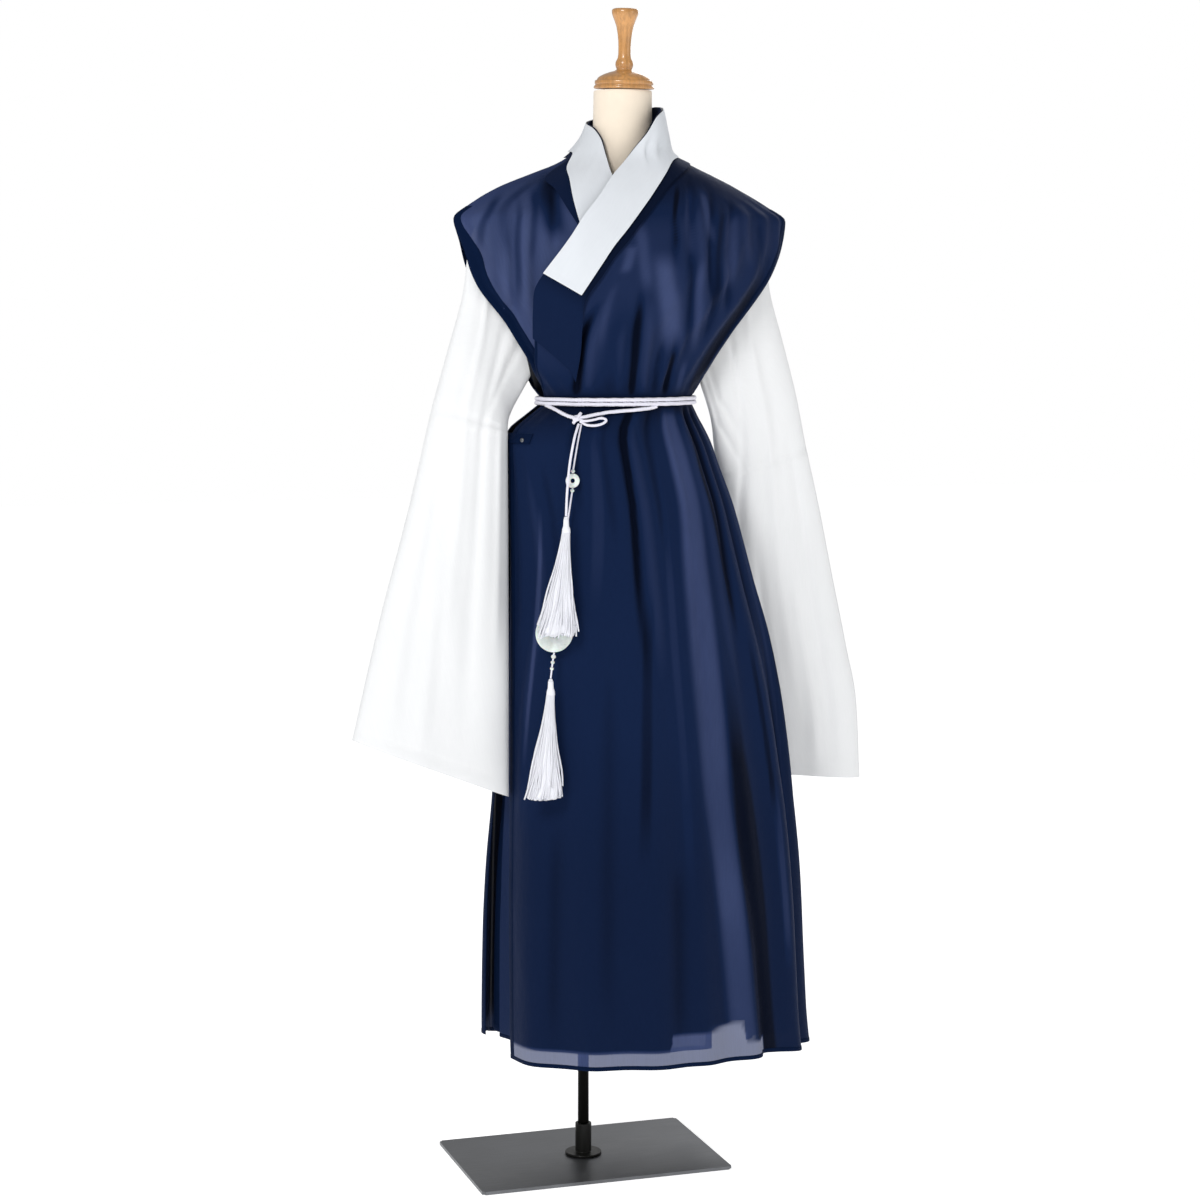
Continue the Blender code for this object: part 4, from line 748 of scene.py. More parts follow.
def ranged(tree, value, low, high, out_low=0.0, out_high=1.0):
    inputs = {"Value": value, "From Min": low, "From Max": high, "To Min": out_low, "To Max": out_high}
    return node(tree, "ShaderNodeMapRange", inputs).outputs["Result"]


def blended(tree, share, first, second):
    colours = {n: v if hasattr(v, "is_output") else (*v, 1) for n, v in ((6, first), (7, second))}
    return node(tree, "ShaderNodeMix", {"Factor": share, **colours}, data_type="RGBA").outputs[2]


def bumped(tree, height, distance, strength=1.0, under=None):
    inputs = {"Height": height, "Distance": distance, "Strength": strength}
    if under is not None:
        inputs["Normal"] = under
    return node(tree, "ShaderNodeBump", inputs).outputs["Normal"]


def darker(colour, share):
    return tuple(c * share for c in colour)


def woven(tree, colour, pitch, roughness, sheen, mottle, crinkle, slubs, gloss, folded=None):
    """Woven cloth: crossing threads at their real pitch, slubs, faint mottling and soft crinkles.

    A sheer cloth also takes its opacity in one layer, and its colour and opacity where it folds on itself, from the
    points'
    Depth, which also carries painted shade and highlights; near 1 the colour goes almost black, painted shadow of deep
    folds.
    """
    threads, place = threads_of(tree), place_on(tree)
    weave = crossed(tree, threads, (pitch, 0.4), (pitch, 0.4))
    slub = noise(tree, threads, (700, 30, 1), 3.0, 0.6)
    pale = ranged(tree, noise(tree, place, (9, 9, 5), 3.0), 0.3, 0.7)
    tone = blended(tree, pale, darker(colour, 1 - mottle), darker(colour, 1 + mottle))
    tone = blended(tree, ranged(tree, slub, 0.35, 0.7, 0.0, slubs), tone, darker(colour, 1.5))
    tint = (*[min(1.0, c / max(colour)) for c in colour], 1)
    soft = bumped(tree, noise(tree, place, (26, 26, 9), 3.0), crinkle * 4)
    surface = {
        "Roughness": ranged(tree, weave, 0.0, 1.0, roughness + 0.06, roughness - 0.08),
        "Normal": bumped(tree, slub, pitch * 0.4, slubs, bumped(tree, weave, pitch * 0.5, 0.3, soft)),
        "Sheen Weight": sheen,
        "Sheen Roughness": 0.45,
        "Sheen Tint": tint,
        "Specular IOR Level": gloss,
        "Specular Tint": tint,
    }
    if folded:
        thin, dark, dense = folded
        depth = node(tree, "ShaderNodeAttribute", attribute_name="Depth").outputs["Fac"]
        # From the colour of one layer, painted with the light showing through it, to the folded colour as the Depth
        # rises.
        tone = blended(tree, ranged(tree, depth, 0.0, 0.68), tone, dark)
        # Painted shadow: towards a Depth of 1 the colour goes almost black.
        tone = blended(tree, ranged(tree, depth, 0.72, 1.0), tone, darker(dark, 0.12))
        surface["Alpha"] = ranged(tree, depth, 0.0, 0.6, thin, dense)
    return {"Base Color": tone, **surface}


def silk(tree, colour, stretch):
    """Bright strands: fine streaks along them in colour, gloss and relief."""
    streak = noise(tree, threads_of(tree), stretch, 3.0, 0.6)
    return {
        "Base Color": blended(tree, ranged(tree, streak, 0.3, 0.7), darker(colour, 0.86), colour),
        "Roughness": ranged(tree, streak, 0.2, 0.8, 0.62, 0.42),
        "Normal": bumped(tree, streak, 0.0003, 0.6),
        "Sheen Weight": 0.3,
        "Specular IOR Level": 0.4,
    }


def jade(tree, colour):
    """Pale stone with clouds and darker veins, a little light under its surface."""
    place = place_on(tree)
    cloud = noise(tree, place, 55.0, 5.0, 0.65)
    vein = noise(tree, place, (40, 40, 160), 4.0, 0.7)
    body = blended(tree, ranged(tree, cloud, 0.35, 0.65), darker(colour, 0.86), PALE_JADE)
    return {
        "Base Color": blended(tree, ranged(tree, vein, 0.58, 0.72, 0.0, 0.5), body, darker(colour, 0.62)),
        "Roughness": ranged(tree, cloud, 0.3, 0.7, 0.16, 0.28),
        "Normal": bumped(tree, vein, 0.00015, 0.3),
        "Subsurface Weight": 0.25,
        "Subsurface Scale": 0.004,
        "Coat Weight": 0.3,
    }


def jersey(tree, colour):
    """Knitted cover: ribs and loops, with painted shade between them."""
    knit = crossed(tree, threads_of(tree), (0.0011, 1.2), (0.0015, 0.8))
    cloud = ranged(tree, noise(tree, place_on(tree), 14.0, 3.0), 0.35, 0.65)
    tone = blended(tree, cloud, darker(colour, 0.93), darker(colour, 1.04))
    return {
        # Painted shade in the hollows between the loops.
        "Base Color": blended(tree, ranged(tree, knit, 0.0, 1.0, 0.25, 0.0), tone, darker(colour, 0.72)),
        "Roughness": ranged(tree, knit, 0.0, 1.0, 0.92, 0.8),
        "Normal": bumped(tree, knit, 0.0004, 0.5),
        "Sheen Weight": 0.25,
        "Specular IOR Level": 0.2,
    }


def varnished(tree, colour):
    """Varnished beech: long grain, short flecks and a clear coat."""
    place = place_on(tree)
    grain = noise(tree, place, (230, 230, 16), 4.0, 0.6)
    fleck = noise(tree, place, (420, 420, 70), 3.0, 0.7)
    cloud = ranged(tree, noise(tree, place, 22.0), 0.35, 0.65)
    body = blended(tree, cloud, darker(colour, 0.85), darker(colour, 1.18))
    lined = blended(tree, ranged(tree, grain, 0.42, 0.66, 0.0, 0.55), body, darker(colour, 0.5))
    return {
        "Base Color": blended(tree, ranged(tree, fleck, 0.6, 0.72, 0.0, 0.5), lined, darker(colour, 0.38)),
        "Roughness": ranged(tree, grain, 0.3, 0.7, 0.3, 0.44),
        "Normal": bumped(tree, grain, 0.0002, 0.4),
        "Coat Weight": 0.55,
        "Coat Roughness": 0.12,
    }


def painted(tree, colour):
    """Black paint with a fine grain and pale scuffs."""
    place = place_on(tree)
    scuff = noise(tree, place, (60, 60, 9), 5.0, 0.7)
    return {
        "Base Color": blended(tree, ranged(tree, scuff, 0.62, 0.74, 0.0, 0.6), colour, darker(colour, 2.6)),
        "Roughness": ranged(tree, scuff, 0.3, 0.75, 0.26, 0.42),
        "Normal": bumped(tree, noise(tree, place, 900.0), 0.0001, 0.25),
        "Specular IOR Level": 0.22,
        "Coat Weight": 0.04,
    }


def brushed(tree, colour):
    """Brushed dark steel: scratches along the plate's length and cloudy wear."""
    place = place_on(tree)
    brush = noise(tree, place, (14, 1500, 14), 4.0, 0.65)
    wear = noise(tree, place, 9.0, 4.0, 0.6)
    body = blended(tree, ranged(tree, brush, 0.3, 0.7), darker(colour, 0.78), darker(colour, 1.2))
    return {
        "Base Color": blended(tree, ranged(tree, wear, 0.45, 0.7, 0.0, 0.3), body, darker(colour, 1.5)),
        "Roughness": ranged(tree, wear, 0.3, 0.7, 0.34, 0.48),
        "Normal": bumped(tree, brush, 0.00008, 0.35),
        "Metallic": 0.85,
    }


PALE_JADE = (0.83, 0.88, 0.86)
# Navy chiffon lets this share of the light's colours through to the shirt, and hides this much where it is folded.
SHIRT_TINT = (0.74, 0.85, 1.0)
FOLDED_OPACITY = 0.999
# Maker and sizes of each finish. Of cloth: pitch, roughness, sheen, mottle, crinkle, slubs, gloss; of silk: stretch.
# The names differ from the frame's own materials.
FINISHES = {
    "navy_chiffon": (woven, 0.0006, 0.66, 0.06, 0.14, 0.0006, 0.25, 0.12),
    "navy_chiffon_doubled": (woven, 0.0006, 0.66, 0.03, 0.14, 0.0004, 0.2, 0.10),
    "navy_cotton": (woven, 0.0007, 0.8, 0.03, 0.10, 0.0005, 0.2, 0.08),
    "white_chiffon": (woven, 0.0006, 0.78, 0.15, 0.015, 0.0002, 0.05, 0.2),
    "white_chiffon_shaded": (woven, 0.0006, 0.78, 0.1, 0.02, 0.0003, 0.05, 0.2),
    "white_plain_weave": (woven, 0.0007, 0.7, 0.12, 0.05, 0.0002, 0.05, 0.2),
    "braided_cord": (silk, (900, 60, 1)),
    "silk_strands": (silk, (2500, 25, 1)),
    "pale_jade": (jade,),
    "cream_jersey": (jersey,),
    "varnished_beech": (varnished,),
    "black_paint": (painted,),
    "brushed_steel": (brushed,),
}


def chosen_colour(name):
    """The colour of a finish, from what the user has chosen."""
    scene = bpy.context.scene
    cloths, cords, stand = scene.hanfu_cloth, scene.hanfu_cord, scene.hanfu_stand
    return {
        "navy_chiffon": cloths.lit_layer_colour,
        "navy_chiffon_doubled": darker(cloths.robe_colour, 0.6),
        "navy_cotton": cloths.lining_colour,
        "white_chiffon": cloths.white_colour,
        "white_chiffon_shaded": [a * b for a, b in zip(cloths.white_colour, SHIRT_TINT)],
        "white_plain_weave": cloths.collar_colour,
        "braided_cord": cords.cord_colour,
        "silk_strands": cords.silk_colour,
        "pale_jade": cords.jade_colour,
        "cream_jersey": stand.jersey_colour,
        "varnished_beech": stand.wood_colour,
        "black_paint": stand.paint_colour,
        "brushed_steel": stand.steel_colour,
    }[name]


def start_finish(name):
    """A new material, with its nodes and its shader's inputs."""
    finish = bpy.data.materials.new(name)
    finish.use_nodes = True
    return finish, finish.node_tree, finish.node_tree.nodes["Principled BSDF"].inputs


def finish_of(name):
    """The finish of that name, made once."""
    if name in bpy.data.materials:
        return bpy.data.materials[name]
    finish, tree, inputs = start_finish(name)
    maker, *sizes = FINISHES[name]
    if name == "navy_chiffon":
        cloths = bpy.context.scene.hanfu_cloth
        sizes.append((cloths.sheer_opacity, tuple(cloths.robe_colour), FOLDED_OPACITY))
    plug(tree, inputs, maker(tree, tuple(chosen_colour(name)), *sizes))
    return finish


def stand_on_frame(thing, slot, *nodes):
    """Rides on the frame and stands for its solids, which it hides; the slot is not used."""
    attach(thing, "root")
    if nodes:
        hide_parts(*nodes)
    return thing


# ---------------------------------------------------------------- what a user can change
def colour_of(name, description, default):
    return FloatVectorProperty(name=name, description=description, default=default, subtype="COLOR")


def length_of(name, description, default):
    return FloatProperty(name=name, description=description, default=default, unit="LENGTH")


def share_of(name, description, default, low, high):
    return FloatProperty(name=name, description=description, default=default, min=low, max=high, subtype="FACTOR")


class HanfuCloth(bpy.types.PropertyGroup):
    robe_colour: colour_of("Robe Colour", "Colour of the over-robe where it is folded", (0.0045, 0.0125, 0.044))
    # One flat layer is given a far lighter colour than the folded robe: painted light of the white beneath showing
    # through it.
    lit_layer_colour: colour_of("Sheer Colour", "Colour of one flat layer of the over-robe", (0.046, 0.065, 0.155))
    lining_colour: colour_of("Skirt Colour", "Colour of the inner skirt", (0.0028, 0.0075, 0.026))
    white_colour: colour_of("Shirt Colour", "Colour of the shirt and sleeves", (0.84, 0.85, 0.86))
    collar_colour: colour_of("Cover Colour", "Colour of the collar cover", (0.70, 0.73, 0.77))
    sheer_opacity: share_of("Opacity", "How much one layer of the robe hides", 0.88, 0.2, 1.0)
    crease_depth: share_of("Crease Depth", "Depth of the creases, 1 as made", 1.0, 0.0, 1.3)
    hem_width: length_of("Hem Width", "Width of the robe's rolled hem", 0.006)
    front_hem_width: length_of("Front Facing Width", "Width of the robe's front facing", 0.011)
    armhole_band_width: length_of("Armhole Band Width", "Width of the doubled band at the armholes", 0.024)


class HanfuCord(bpy.types.PropertyGroup):
    belt_diameter: length_of("Belt Diameter", "Thickness of the belt", 0.0058)
    hanging_diameter: length_of("Hanging Diameter", "Thickness of the hanging end", 0.0038)
    pendant_diameter: length_of("Pendant Diameter", "Thickness of the cord between the jades", 0.0027)
    tassel_strands: IntProperty(
        name="Tassel Strands", description="Strands in each tassel", default=120, min=20, max=125
    )
    cord_colour: colour_of("Cord Colour", "Colour of the belt", (0.88, 0.87, 0.97))
    silk_colour: colour_of("Tassel Colour", "Colour of the tassels", (0.92, 0.93, 0.99))
    jade_colour: colour_of("Jade Colour", "Colour of the jade", (0.66, 0.74, 0.70))


class HanfuStand(bpy.types.PropertyGroup):
    jersey_colour: colour_of("Jersey Colour", "Colour of the form's cover", (0.96, 0.84, 0.69))
    wood_colour: colour_of("Wood Colour", "Colour of the neck cap", (0.56, 0.27, 0.08))
    paint_colour: colour_of("Paint Colour", "Colour of the pole", (0.008, 0.008, 0.007))
    steel_colour: colour_of("Steel Colour", "Colour of the base plate", (0.15, 0.155, 0.165))
    daylight: FloatProperty(name="Daylight", description="Strength of the studio's lamps", default=1.0, min=0.0)


# ---------------------------------------------------------------- the over-robe
SKIRT = ordered_heights(HEM_HEIGHT, BELT_HEIGHT, 0.0075)
ROBE_HEIGHTS = np.concatenate([SKIRT[:-1], ordered_heights(BELT_HEIGHT, ROBE_TOP, 0.0045)])
ROBE_COLUMNS, UNDERLAP_COLUMNS = 210, 130
UNDERLAP_HEM = 0.208
OPEN_SIDE_ANGLE = 87
HEM_DROP, HEM_LIFT, HEM_LIFTS = 0.020, 0.022, (234, 266)
# Half thickness of a rolled hem, of a thin one and of the doubled band; heights where that begins, narrows and ends.
ROLLED, THIN, DOUBLED = 0.0005, 0.0004, 0.0007
ARMHOLE_LOW, BAND_NARROWS, ARMHOLE_TOP = 1.178, 1.37, 1.452
CHEST_EDGE_WIDTH = 0.004
HIP_TAPE_HEIGHTS = (1.110, 1.124)
HIP_TAPE_INSETS = (-0.0022, -0.0012)
SNAP_PLACE = (-65.0, 1.1145)
SNAP_SIZE = (0.0034, 0.0016)
# Of each panel: how dense it looks above and below the belt and its streaks there, then its flat size, its area,
# what it rests on and its armhole bands.
PANELS = {
    "robe_front_left": (
        (0.60, 0.70, LEFT_CHEST_STREAKS, SKIRT_STREAKS),
        ((0.78, 1.36), 0.66, ["form_body", "robe_front_right"], ["front_left"]),
    ),
    "robe_front_right": (
        (0.10, 0.55, RIGHT_CHEST_STREAKS, ()),
        ((0.46, 1.34), 0.41, ["form_body"], ["front_right"]),
    ),
    "robe_back": (
        (0.42, 0.60, (), BACK_SKIRT_STREAKS),
        ((0.86, 1.36), 0.73, ["form_body"], ["back_left", "back_right"]),
    ),
}


def shoulder_rise(angle, height):
    """How far the right front stands out from its place under the left front, as a negative tuck."""
    start = np.interp(height, *zip(*RISE_ANGLES))
    share = eased(-angle, start, start + np.maximum(armhole_angle(height) - start, 0.5))
    return -INSET_ROBE_RIGHT * share * eased(height, 1.28, 1.34)


def over_sleeve(grid):
    """Keeps the right front's armhole edge flat and in front of the sleeve, instead of turning round the side."""
    height = grid[..., 2]
    share = eased(height, *OVER_SLEEVE_STARTS) * (1 - eased(height, *OVER_SLEEVE_ENDS)) * (grid[..., 0] < -0.08)
    grid[..., 1] += share * (np.minimum(grid[..., 1], OVER_SLEEVE_DEPTH) - grid[..., 1])
    return grid


def cloth_grid(heights, left_of, right_of, columns, inset, folds=1.0, creases=1.0, hem=None, tuck=None):
    """Points of a panel between two edges given as angles, bottom row first."""
    height = np.asarray(heights, float)[:, None]
    share = np.linspace(0, 1, columns + 1)
    angle = left_of(height) * (1 - share) + right_of(height) * share
    height = hem(angle, height + 0 * angle) if hem else height + 0 * angle
    return cloth(angle, height, inset, folds, creases, tuck(angle, height) if tuck else 0.0)


def hem_level(angle, height):
    """Lowers the hem a little behind the wearer's left and lifts it at the open edge on the right."""
    drop = HEM_DROP * np.maximum(0.0, np.sin(np.radians(angle - 40))) - HEM_LIFT * eased(angle, *HEM_LIFTS)
    return height - drop * np.clip(below_belt(height), 0, None) ** 2


class HANFU_OT_over_robe(bpy.types.Operator):
    """Sheer robe: crossed front panels and the back, with rolled hems and doubled armhole bands"""

    bl_idname = "hanfu.over_robe"
    bl_label = "Over-robe"

    def execute(self, context):
        sizes = context.scene.hanfu_cloth
        sheer, doubled = finish_of("navy_chiffon"), finish_of("navy_chiffon_doubled")
        crease = sizes.crease_depth
        front_left = cloth_grid(
            ROBE_HEIGHTS, edge_at(LEFT_FRONT_EDGE), armhole_angle, ROBE_COLUMNS, INSET_ROBE, 1, crease, hem_level
        )
        back = cloth_grid(
            ROBE_HEIGHTS,
            lambda z: 180 - armhole_angle(z),
            lambda z: 180 + np.where(z > BELT_HEIGHT, armhole_angle(z), OPEN_SIDE_ANGLE),
            ROBE_COLUMNS, INSET_ROBE, 1, crease, hem_level,
        )
        front_right = over_sleeve(cloth_grid(
            np.concatenate([[UNDERLAP_HEM], ROBE_HEIGHTS[ROBE_HEIGHTS > UNDERLAP_HEM + 0.004]]),
            lambda z: -armhole_angle(z) - table_read(OVER_SLEEVE_ANGLES, z),
            edge_at(RIGHT_FRONT_EDGE),
            UNDERLAP_COLUMNS, INSET_ROBE_RIGHT, 1, crease, None, shoulder_rise,
        ))
        made = {}
        for name, grid, side in (
            ("robe_front_left", front_left, "left"),
            ("robe_back", back, "right"),
            ("robe_front_right", front_right, "right"),
        ):
            depth = sheer_layers_and_painted_shade(grid, *PANELS[name][0], lambda angle: inner_hem(angle, INNER_SKIRT_HEM + 0 * angle))
            sewing = Sewing().add(grid, depth=depth)
            sewing.add(edge_fold(grid, "bottom", sizes.hem_width, ROLLED), 1)
            sewing.add(edge_fold(grid[: len(SKIRT)], side, sizes.front_hem_width, ROLLED), 1)
            if name == "robe_front_left":
                sewing.add(edge_fold(grid[len(SKIRT) - 1 :], "left", CHEST_EDGE_WIDTH, THIN), 1)
            made[name] = stand_on_frame(sewing.build(f"{name}_cloth", sheer, doubled), "sheer_navy", name)
        for place, grid, edge in (
            ("front_left", front_left, "right"),
            ("back_left", back, "left"),
            ("front_right", front_right, "left"),
            ("back_right", back, "right"),
        ):
            heights = grid[:, 0, 2]
            rows = grid[(heights > ARMHOLE_LOW) & (heights < ARMHOLE_TOP)]
            narrowing = 1 - 0.62 * eased(rows[:, 0, 2], BAND_NARROWS, ARMHOLE_TOP)
            band = edge_fold(rows, edge, sizes.armhole_band_width * narrowing, DOUBLED)
            name = f"armhole_band_{place}"
            made[name] = stand_on_frame(Sewing().add(band).build(f"{name}_cloth", doubled), "sheer_navy", name)
        self.make_hip_tape(crease)
        for name, (_, (flat, area, under, bands)) in PANELS.items():
            bands = [made[f"armhole_band_{place}"] for place in bands]
        return {"FINISHED"}

    def make_hip_tape(self, crease):
        """The tape at the right hip that holds the open edge's top, with its snap fastener."""
        heights = ordered_heights(*HIP_TAPE_HEIGHTS, 0.002)
        faces = [cloth_grid(heights, constant(-86), constant(-58), 40, inset, 1, crease) for inset in HIP_TAPE_INSETS]
        tape = thick_sheet(*faces).build("hip_tape_cloth", finish_of("navy_chiffon_doubled"))
        stand_on_frame(tape, "lining_navy", "hip_tape")
        radius, height = SNAP_SIZE
        profile = [(0.0002, height), (0.45 * radius, height), (0.75 * radius, 0.8 * height), (radius, 0.3 * height)]
        disc = lathe(profile + [(radius, 0.0), (0.0002, 0.0)], (0, 0, 0), 0.0, 20)
        middle = cloth(*SNAP_PLACE, HIP_TAPE_INSETS[0], 1.0, crease)
        side = unit(cloth(SNAP_PLACE[0] + 2, SNAP_PLACE[1], HIP_TAPE_INSETS[0], 1.0, crease) - middle)
        out = np.cross(side, (0.0, 0.0, 1.0))
        spots = middle + disc[..., :1] * side + disc[..., 1:2] * np.cross(out, side) + disc[..., 2:] * out
        snap = Sewing().add(spots, closed=True).build("hip_snap", finish_of("brushed_steel"))
        stand_on_frame(snap, "grey_steel")


# ---------------------------------------------------------------- the collar
# How dense the band looks, and how much less at its first end and at its last.
BAND_DENSITY, BAND_PALER_START, BAND_PALER_END = 0.93, 0.10, 0.16


def collar_grids(rows, inset_right, inset_left, widening=0.0, across=16, step=0.0035):
    """Outer and inner faces of the strip round the neck: points across each row, then smooth runs between rows."""
    grids = []
    for depth in (0.0, COLLAR_CLOTH):
        lines = []
        for upper_angle, upper_height, lower_angle, lower_height, layer in rows:
            share = np.linspace(0, 1, across + 1)
            angle = upper_angle + (lower_angle - upper_angle) * share
            height = upper_height + (lower_height - upper_height) * share
            if widening:
                extra = widening * (1 - 0.45 * eased(lower_height, 1.515, 1.53)) * np.linspace(0, 1, 6)[1:]
                angle = np.append(angle, np.full(5, lower_angle))
                height = np.append(height, lower_height - extra)
            inset = inset_right + (inset_left - inset_right) * layer
            lines.append(cloth(angle, height, inset + depth, 1.0, 0.0))
        grids.append(np.array(lines))
    way = run_lengths(grids[0].mean(1))
    fine = np.linspace(0, way[-1], int(way[-1] / step))
    return [curve_through(way, grid, fine) for grid in grids]


class HANFU_OT_collar(bpy.types.Operator):
    """Crossed navy collar band and the white cover sewn over it"""

    bl_idname = "hanfu.collar"
    bl_label = "Collar"

    def execute(self, context):
        rows = COLLAR_ROWS + COLLAR_TAIL_ROWS
        faces = collar_grids(rows, INSET_BAND_RIGHT, INSET_BAND_LEFT, COLLAR_WIDENING)
        share = np.linspace(0, 1, len(faces[0]))[:, None]
        density = BAND_DENSITY - BAND_PALER_START * (1 - eased(share, 0.16, 0.24))
        density = density - BAND_PALER_END * eased(share, 0.84, 0.90)
        band = thick_sheet(*faces, density).build("robe_collar_cloth", finish_of("navy_chiffon"))
        stand_on_frame(band, "sheer_navy", "robe_collar")
        faces = collar_grids(COLLAR_ROWS, INSET_COVER_RIGHT, INSET_COVER_LEFT)
        cover = thick_sheet(*faces).build("collar_cover_cloth", finish_of("white_plain_weave"))
        stand_on_frame(cover, "collar_white", "collar_cover")
        return {"FINISHED"}


# ---------------------------------------------------------------- the inner skirt and the shirt
INNER_SKIRT_HEM = 0.212
UNDER_SKIRT_HEM = 0.262
INSET_UNDER_SKIRT = 0.0195
INNER_HEM_DROP = 0.016
# The step in the inner hem: how high it is, between which angles it begins, and between which it ends.
HEM_STEP, STEP_BEGINS, STEP_ENDS = 0.024, (-5.0, -3.4), (25, 28)
LINING_HEM_WIDTH = 0.012
LINING_EDGE_WIDTH = 0.010
TUCK_DEPTHS = [(0.21, 0.0), (0.34, 0.008), (0.50, 0.016), (0.66, 0.024), (0.80, 0.020), (0.95, 0.0)]
SHIRT_HEM = 1.02
SHIRT_ARMHOLE_DEPTH = 8


def inner_tuck(angle, height):
    """The inner skirt hangs straighter than the robe over the wearer's left hip, so it lies further in."""
    return table_read(TUCK_DEPTHS, height) * swell(angle, 92.0, 40.0)


def inner_hem(angle, height):
    """A step in the front hem near the open edge, where the facing is turned up."""
    low = np.clip((0.5 - height) / (0.5 - INNER_SKIRT_HEM), 0, 1) ** 3
    step = (HEM_STEP * eased(angle, *STEP_BEGINS) + 0.005 * eased(angle, 2, 20)) * (1 - eased(angle, *STEP_ENDS))
    drop = INNER_HEM_DROP * np.maximum(0.0, np.sin(np.radians(angle - 40)))
    return height + (step - drop) * low


def hemmed(grid):
    """A panel with a turned hem along its bottom."""
    return Sewing().add(grid).add(edge_fold(grid, "bottom", LINING_HEM_WIDTH, THIN))


class HANFU_OT_inner_skirt(bpy.types.Operator):
    """Matt navy skirt under the robe, open at the wearer's left front"""

    bl_idname = "hanfu.inner_skirt"
    bl_label = "Inner Skirt"

    def execute(self, context):
        crease = context.scene.hanfu_cloth.crease_depth * 0.8
        heights = ordered_heights(INNER_SKIRT_HEM, 1.188, 0.010)
        for name, left, right, columns, folds, flat, area in (
            ("inner_skirt_front", constant(-80), edge_at(INNER_FRONT_EDGE), 110, 0.7, (0.36, 0.98), 0.30),
            ("inner_skirt_back", edge_at(INNER_BACK_EDGE), constant(276), 190, 0.8, (0.86, 0.98), 0.70),
        ):
            grid = cloth_grid(heights, left, right, columns, INSET_INNER_SKIRT, folds, crease, inner_hem, inner_tuck)
            sewing = hemmed(grid)
            for side in ("left", "right"):
                sewing.add(edge_fold(grid, side, LINING_EDGE_WIDTH, THIN))
            thing = stand_on_frame(sewing.build(f"{name}_cloth", finish_of("navy_cotton")), "lining_navy", name)
        heights = ordered_heights(UNDER_SKIRT_HEM, 1.15, 0.02)
        grid = cloth_grid(heights, constant(-6), constant(64), 60, INSET_UNDER_SKIRT, 0.6, 0.0, None, inner_tuck)
        under = hemmed(grid).build("under_skirt_cloth", finish_of("white_chiffon_shaded"))
        stand_on_frame(under, "white_shirt")
        return {"FINISHED"}


def shirt_arm(height):
    """The shirt's own armhole lies inside the robe's, and the shoulder above it is closed."""
    inside = SHIRT_ARMHOLE_DEPTH * eased(height, 1.17, 1.20) * (1 - eased(height, 1.44, 1.455))
    return armhole_angle(height) - inside


class HANFU_OT_shirt(bpy.types.Operator):
    """White shirt under the robe: crossed fronts and the back"""

    bl_idname = "hanfu.shirt"
    bl_label = "Shirt"

    def execute(self, context):
        heights = ordered_heights(SHIRT_HEM, SHIRT_TOP, 0.010)
        right_edge, left_edge = edge_at(RIGHT_FRONT_EDGE), edge_at(LEFT_FRONT_EDGE)
        for name, left, right, columns, inset, flat, area in (
            (
                "shirt_front_right", lambda z: -shirt_arm(z), lambda z: right_edge(z) - 3,
                60, INSET_SHIRT, (0.30, 0.52), 0.10,
            ),
            (
                "shirt_front_left", lambda z: np.maximum(left_edge(z) + 4, -30), shirt_arm,
                70, INSET_SHIRT_OVERLAP, (0.33, 0.52), 0.12,
            ),
            (
                "shirt_back", lambda z: 180 - shirt_arm(z), lambda z: 180 + shirt_arm(z),
                110, INSET_SHIRT, (0.46, 0.52), 0.17,
            ),
        ):
            sewing = hemmed(cloth_grid(heights, left, right, columns, inset, 0.5, 0.0))
            thing = sewing.build(f"{name}_cloth", finish_of("white_chiffon_shaded"))
            stand_on_frame(thing, "white_shirt", name)
        return {"FINISHED"}


# Of the sleeves: thickness of the cloth, depth of the seam, rise of the welt beside it, and both for the cuff.
SLEEVE_CLOTH = 0.0008
SEAM_DEPTH, WELT_RISE, CUFF_DEPTH, CUFF_RISE = 0.0022, 0.0014, 0.0009, 0.0005


def ridge(share, at, width):
    return np.exp(-(((share - at) / width) ** 2))


def sleeve_grid(rows, creases, seam_row, inset, around=96, length_step=0.006):
    """Points of a flattened slanting tube with soft lengthwise creases on both faces."""
    rows = np.array(rows, float)
    way = run_lengths((rows[:, [0, 1]] + rows[:, [2, 3]]) / 2)
    share = np.linspace(0, 1, int(way[-1] / length_step))
    fine = smooth_read(way / way[-1], rows, share)
    sine, cosine = np.sin(full_turn(around)), np.cos(full_turn(around))
    top, under = fine[:, None, [0, 4, 1]], fine[:, None, [2, 4, 3]]
    across = (top - under) / 2
    reach = np.linalg.norm(across, axis=-1, keepdims=True)
    share = share[:, None]
    depth = (fine[:, 5:] - inset) * np.sign(sine) * np.abs(sine) ** 0.8
    depth = depth + SLEEVE_RIPPLE * share * sine * np.cos(3.1 * cosine + 4 * share)
    for side, lines in creases.items():
        depth = depth + side * line_rise(lines, cosine, share) * eased(side * sine, 0.0, 0.5)
    seam = way[seam_row] / way[-1]
    stitched = WELT_RISE * ridge(share, seam + 0.011, 0.007) - SEAM_DEPTH * ridge(share, seam, 0.005)
    cuff = CUFF_RISE * eased(share, 0.974, 0.978) - CUFF_DEPTH * ridge(share, 0.972, 0.004)
    depth = depth + (stitched + cuff) * np.sign(sine) * eased(np.abs(sine), 0.0, 0.3)
    depth = depth + crumple(cosine * 0.10 + 0.3, share * 0.35 + 0.05 * cosine, 0.0014) * np.abs(sine)
    spots = (top + under) / 2 + across / reach * (reach - inset) * cosine[:, None]
    spots[..., 1] += depth
    return spots


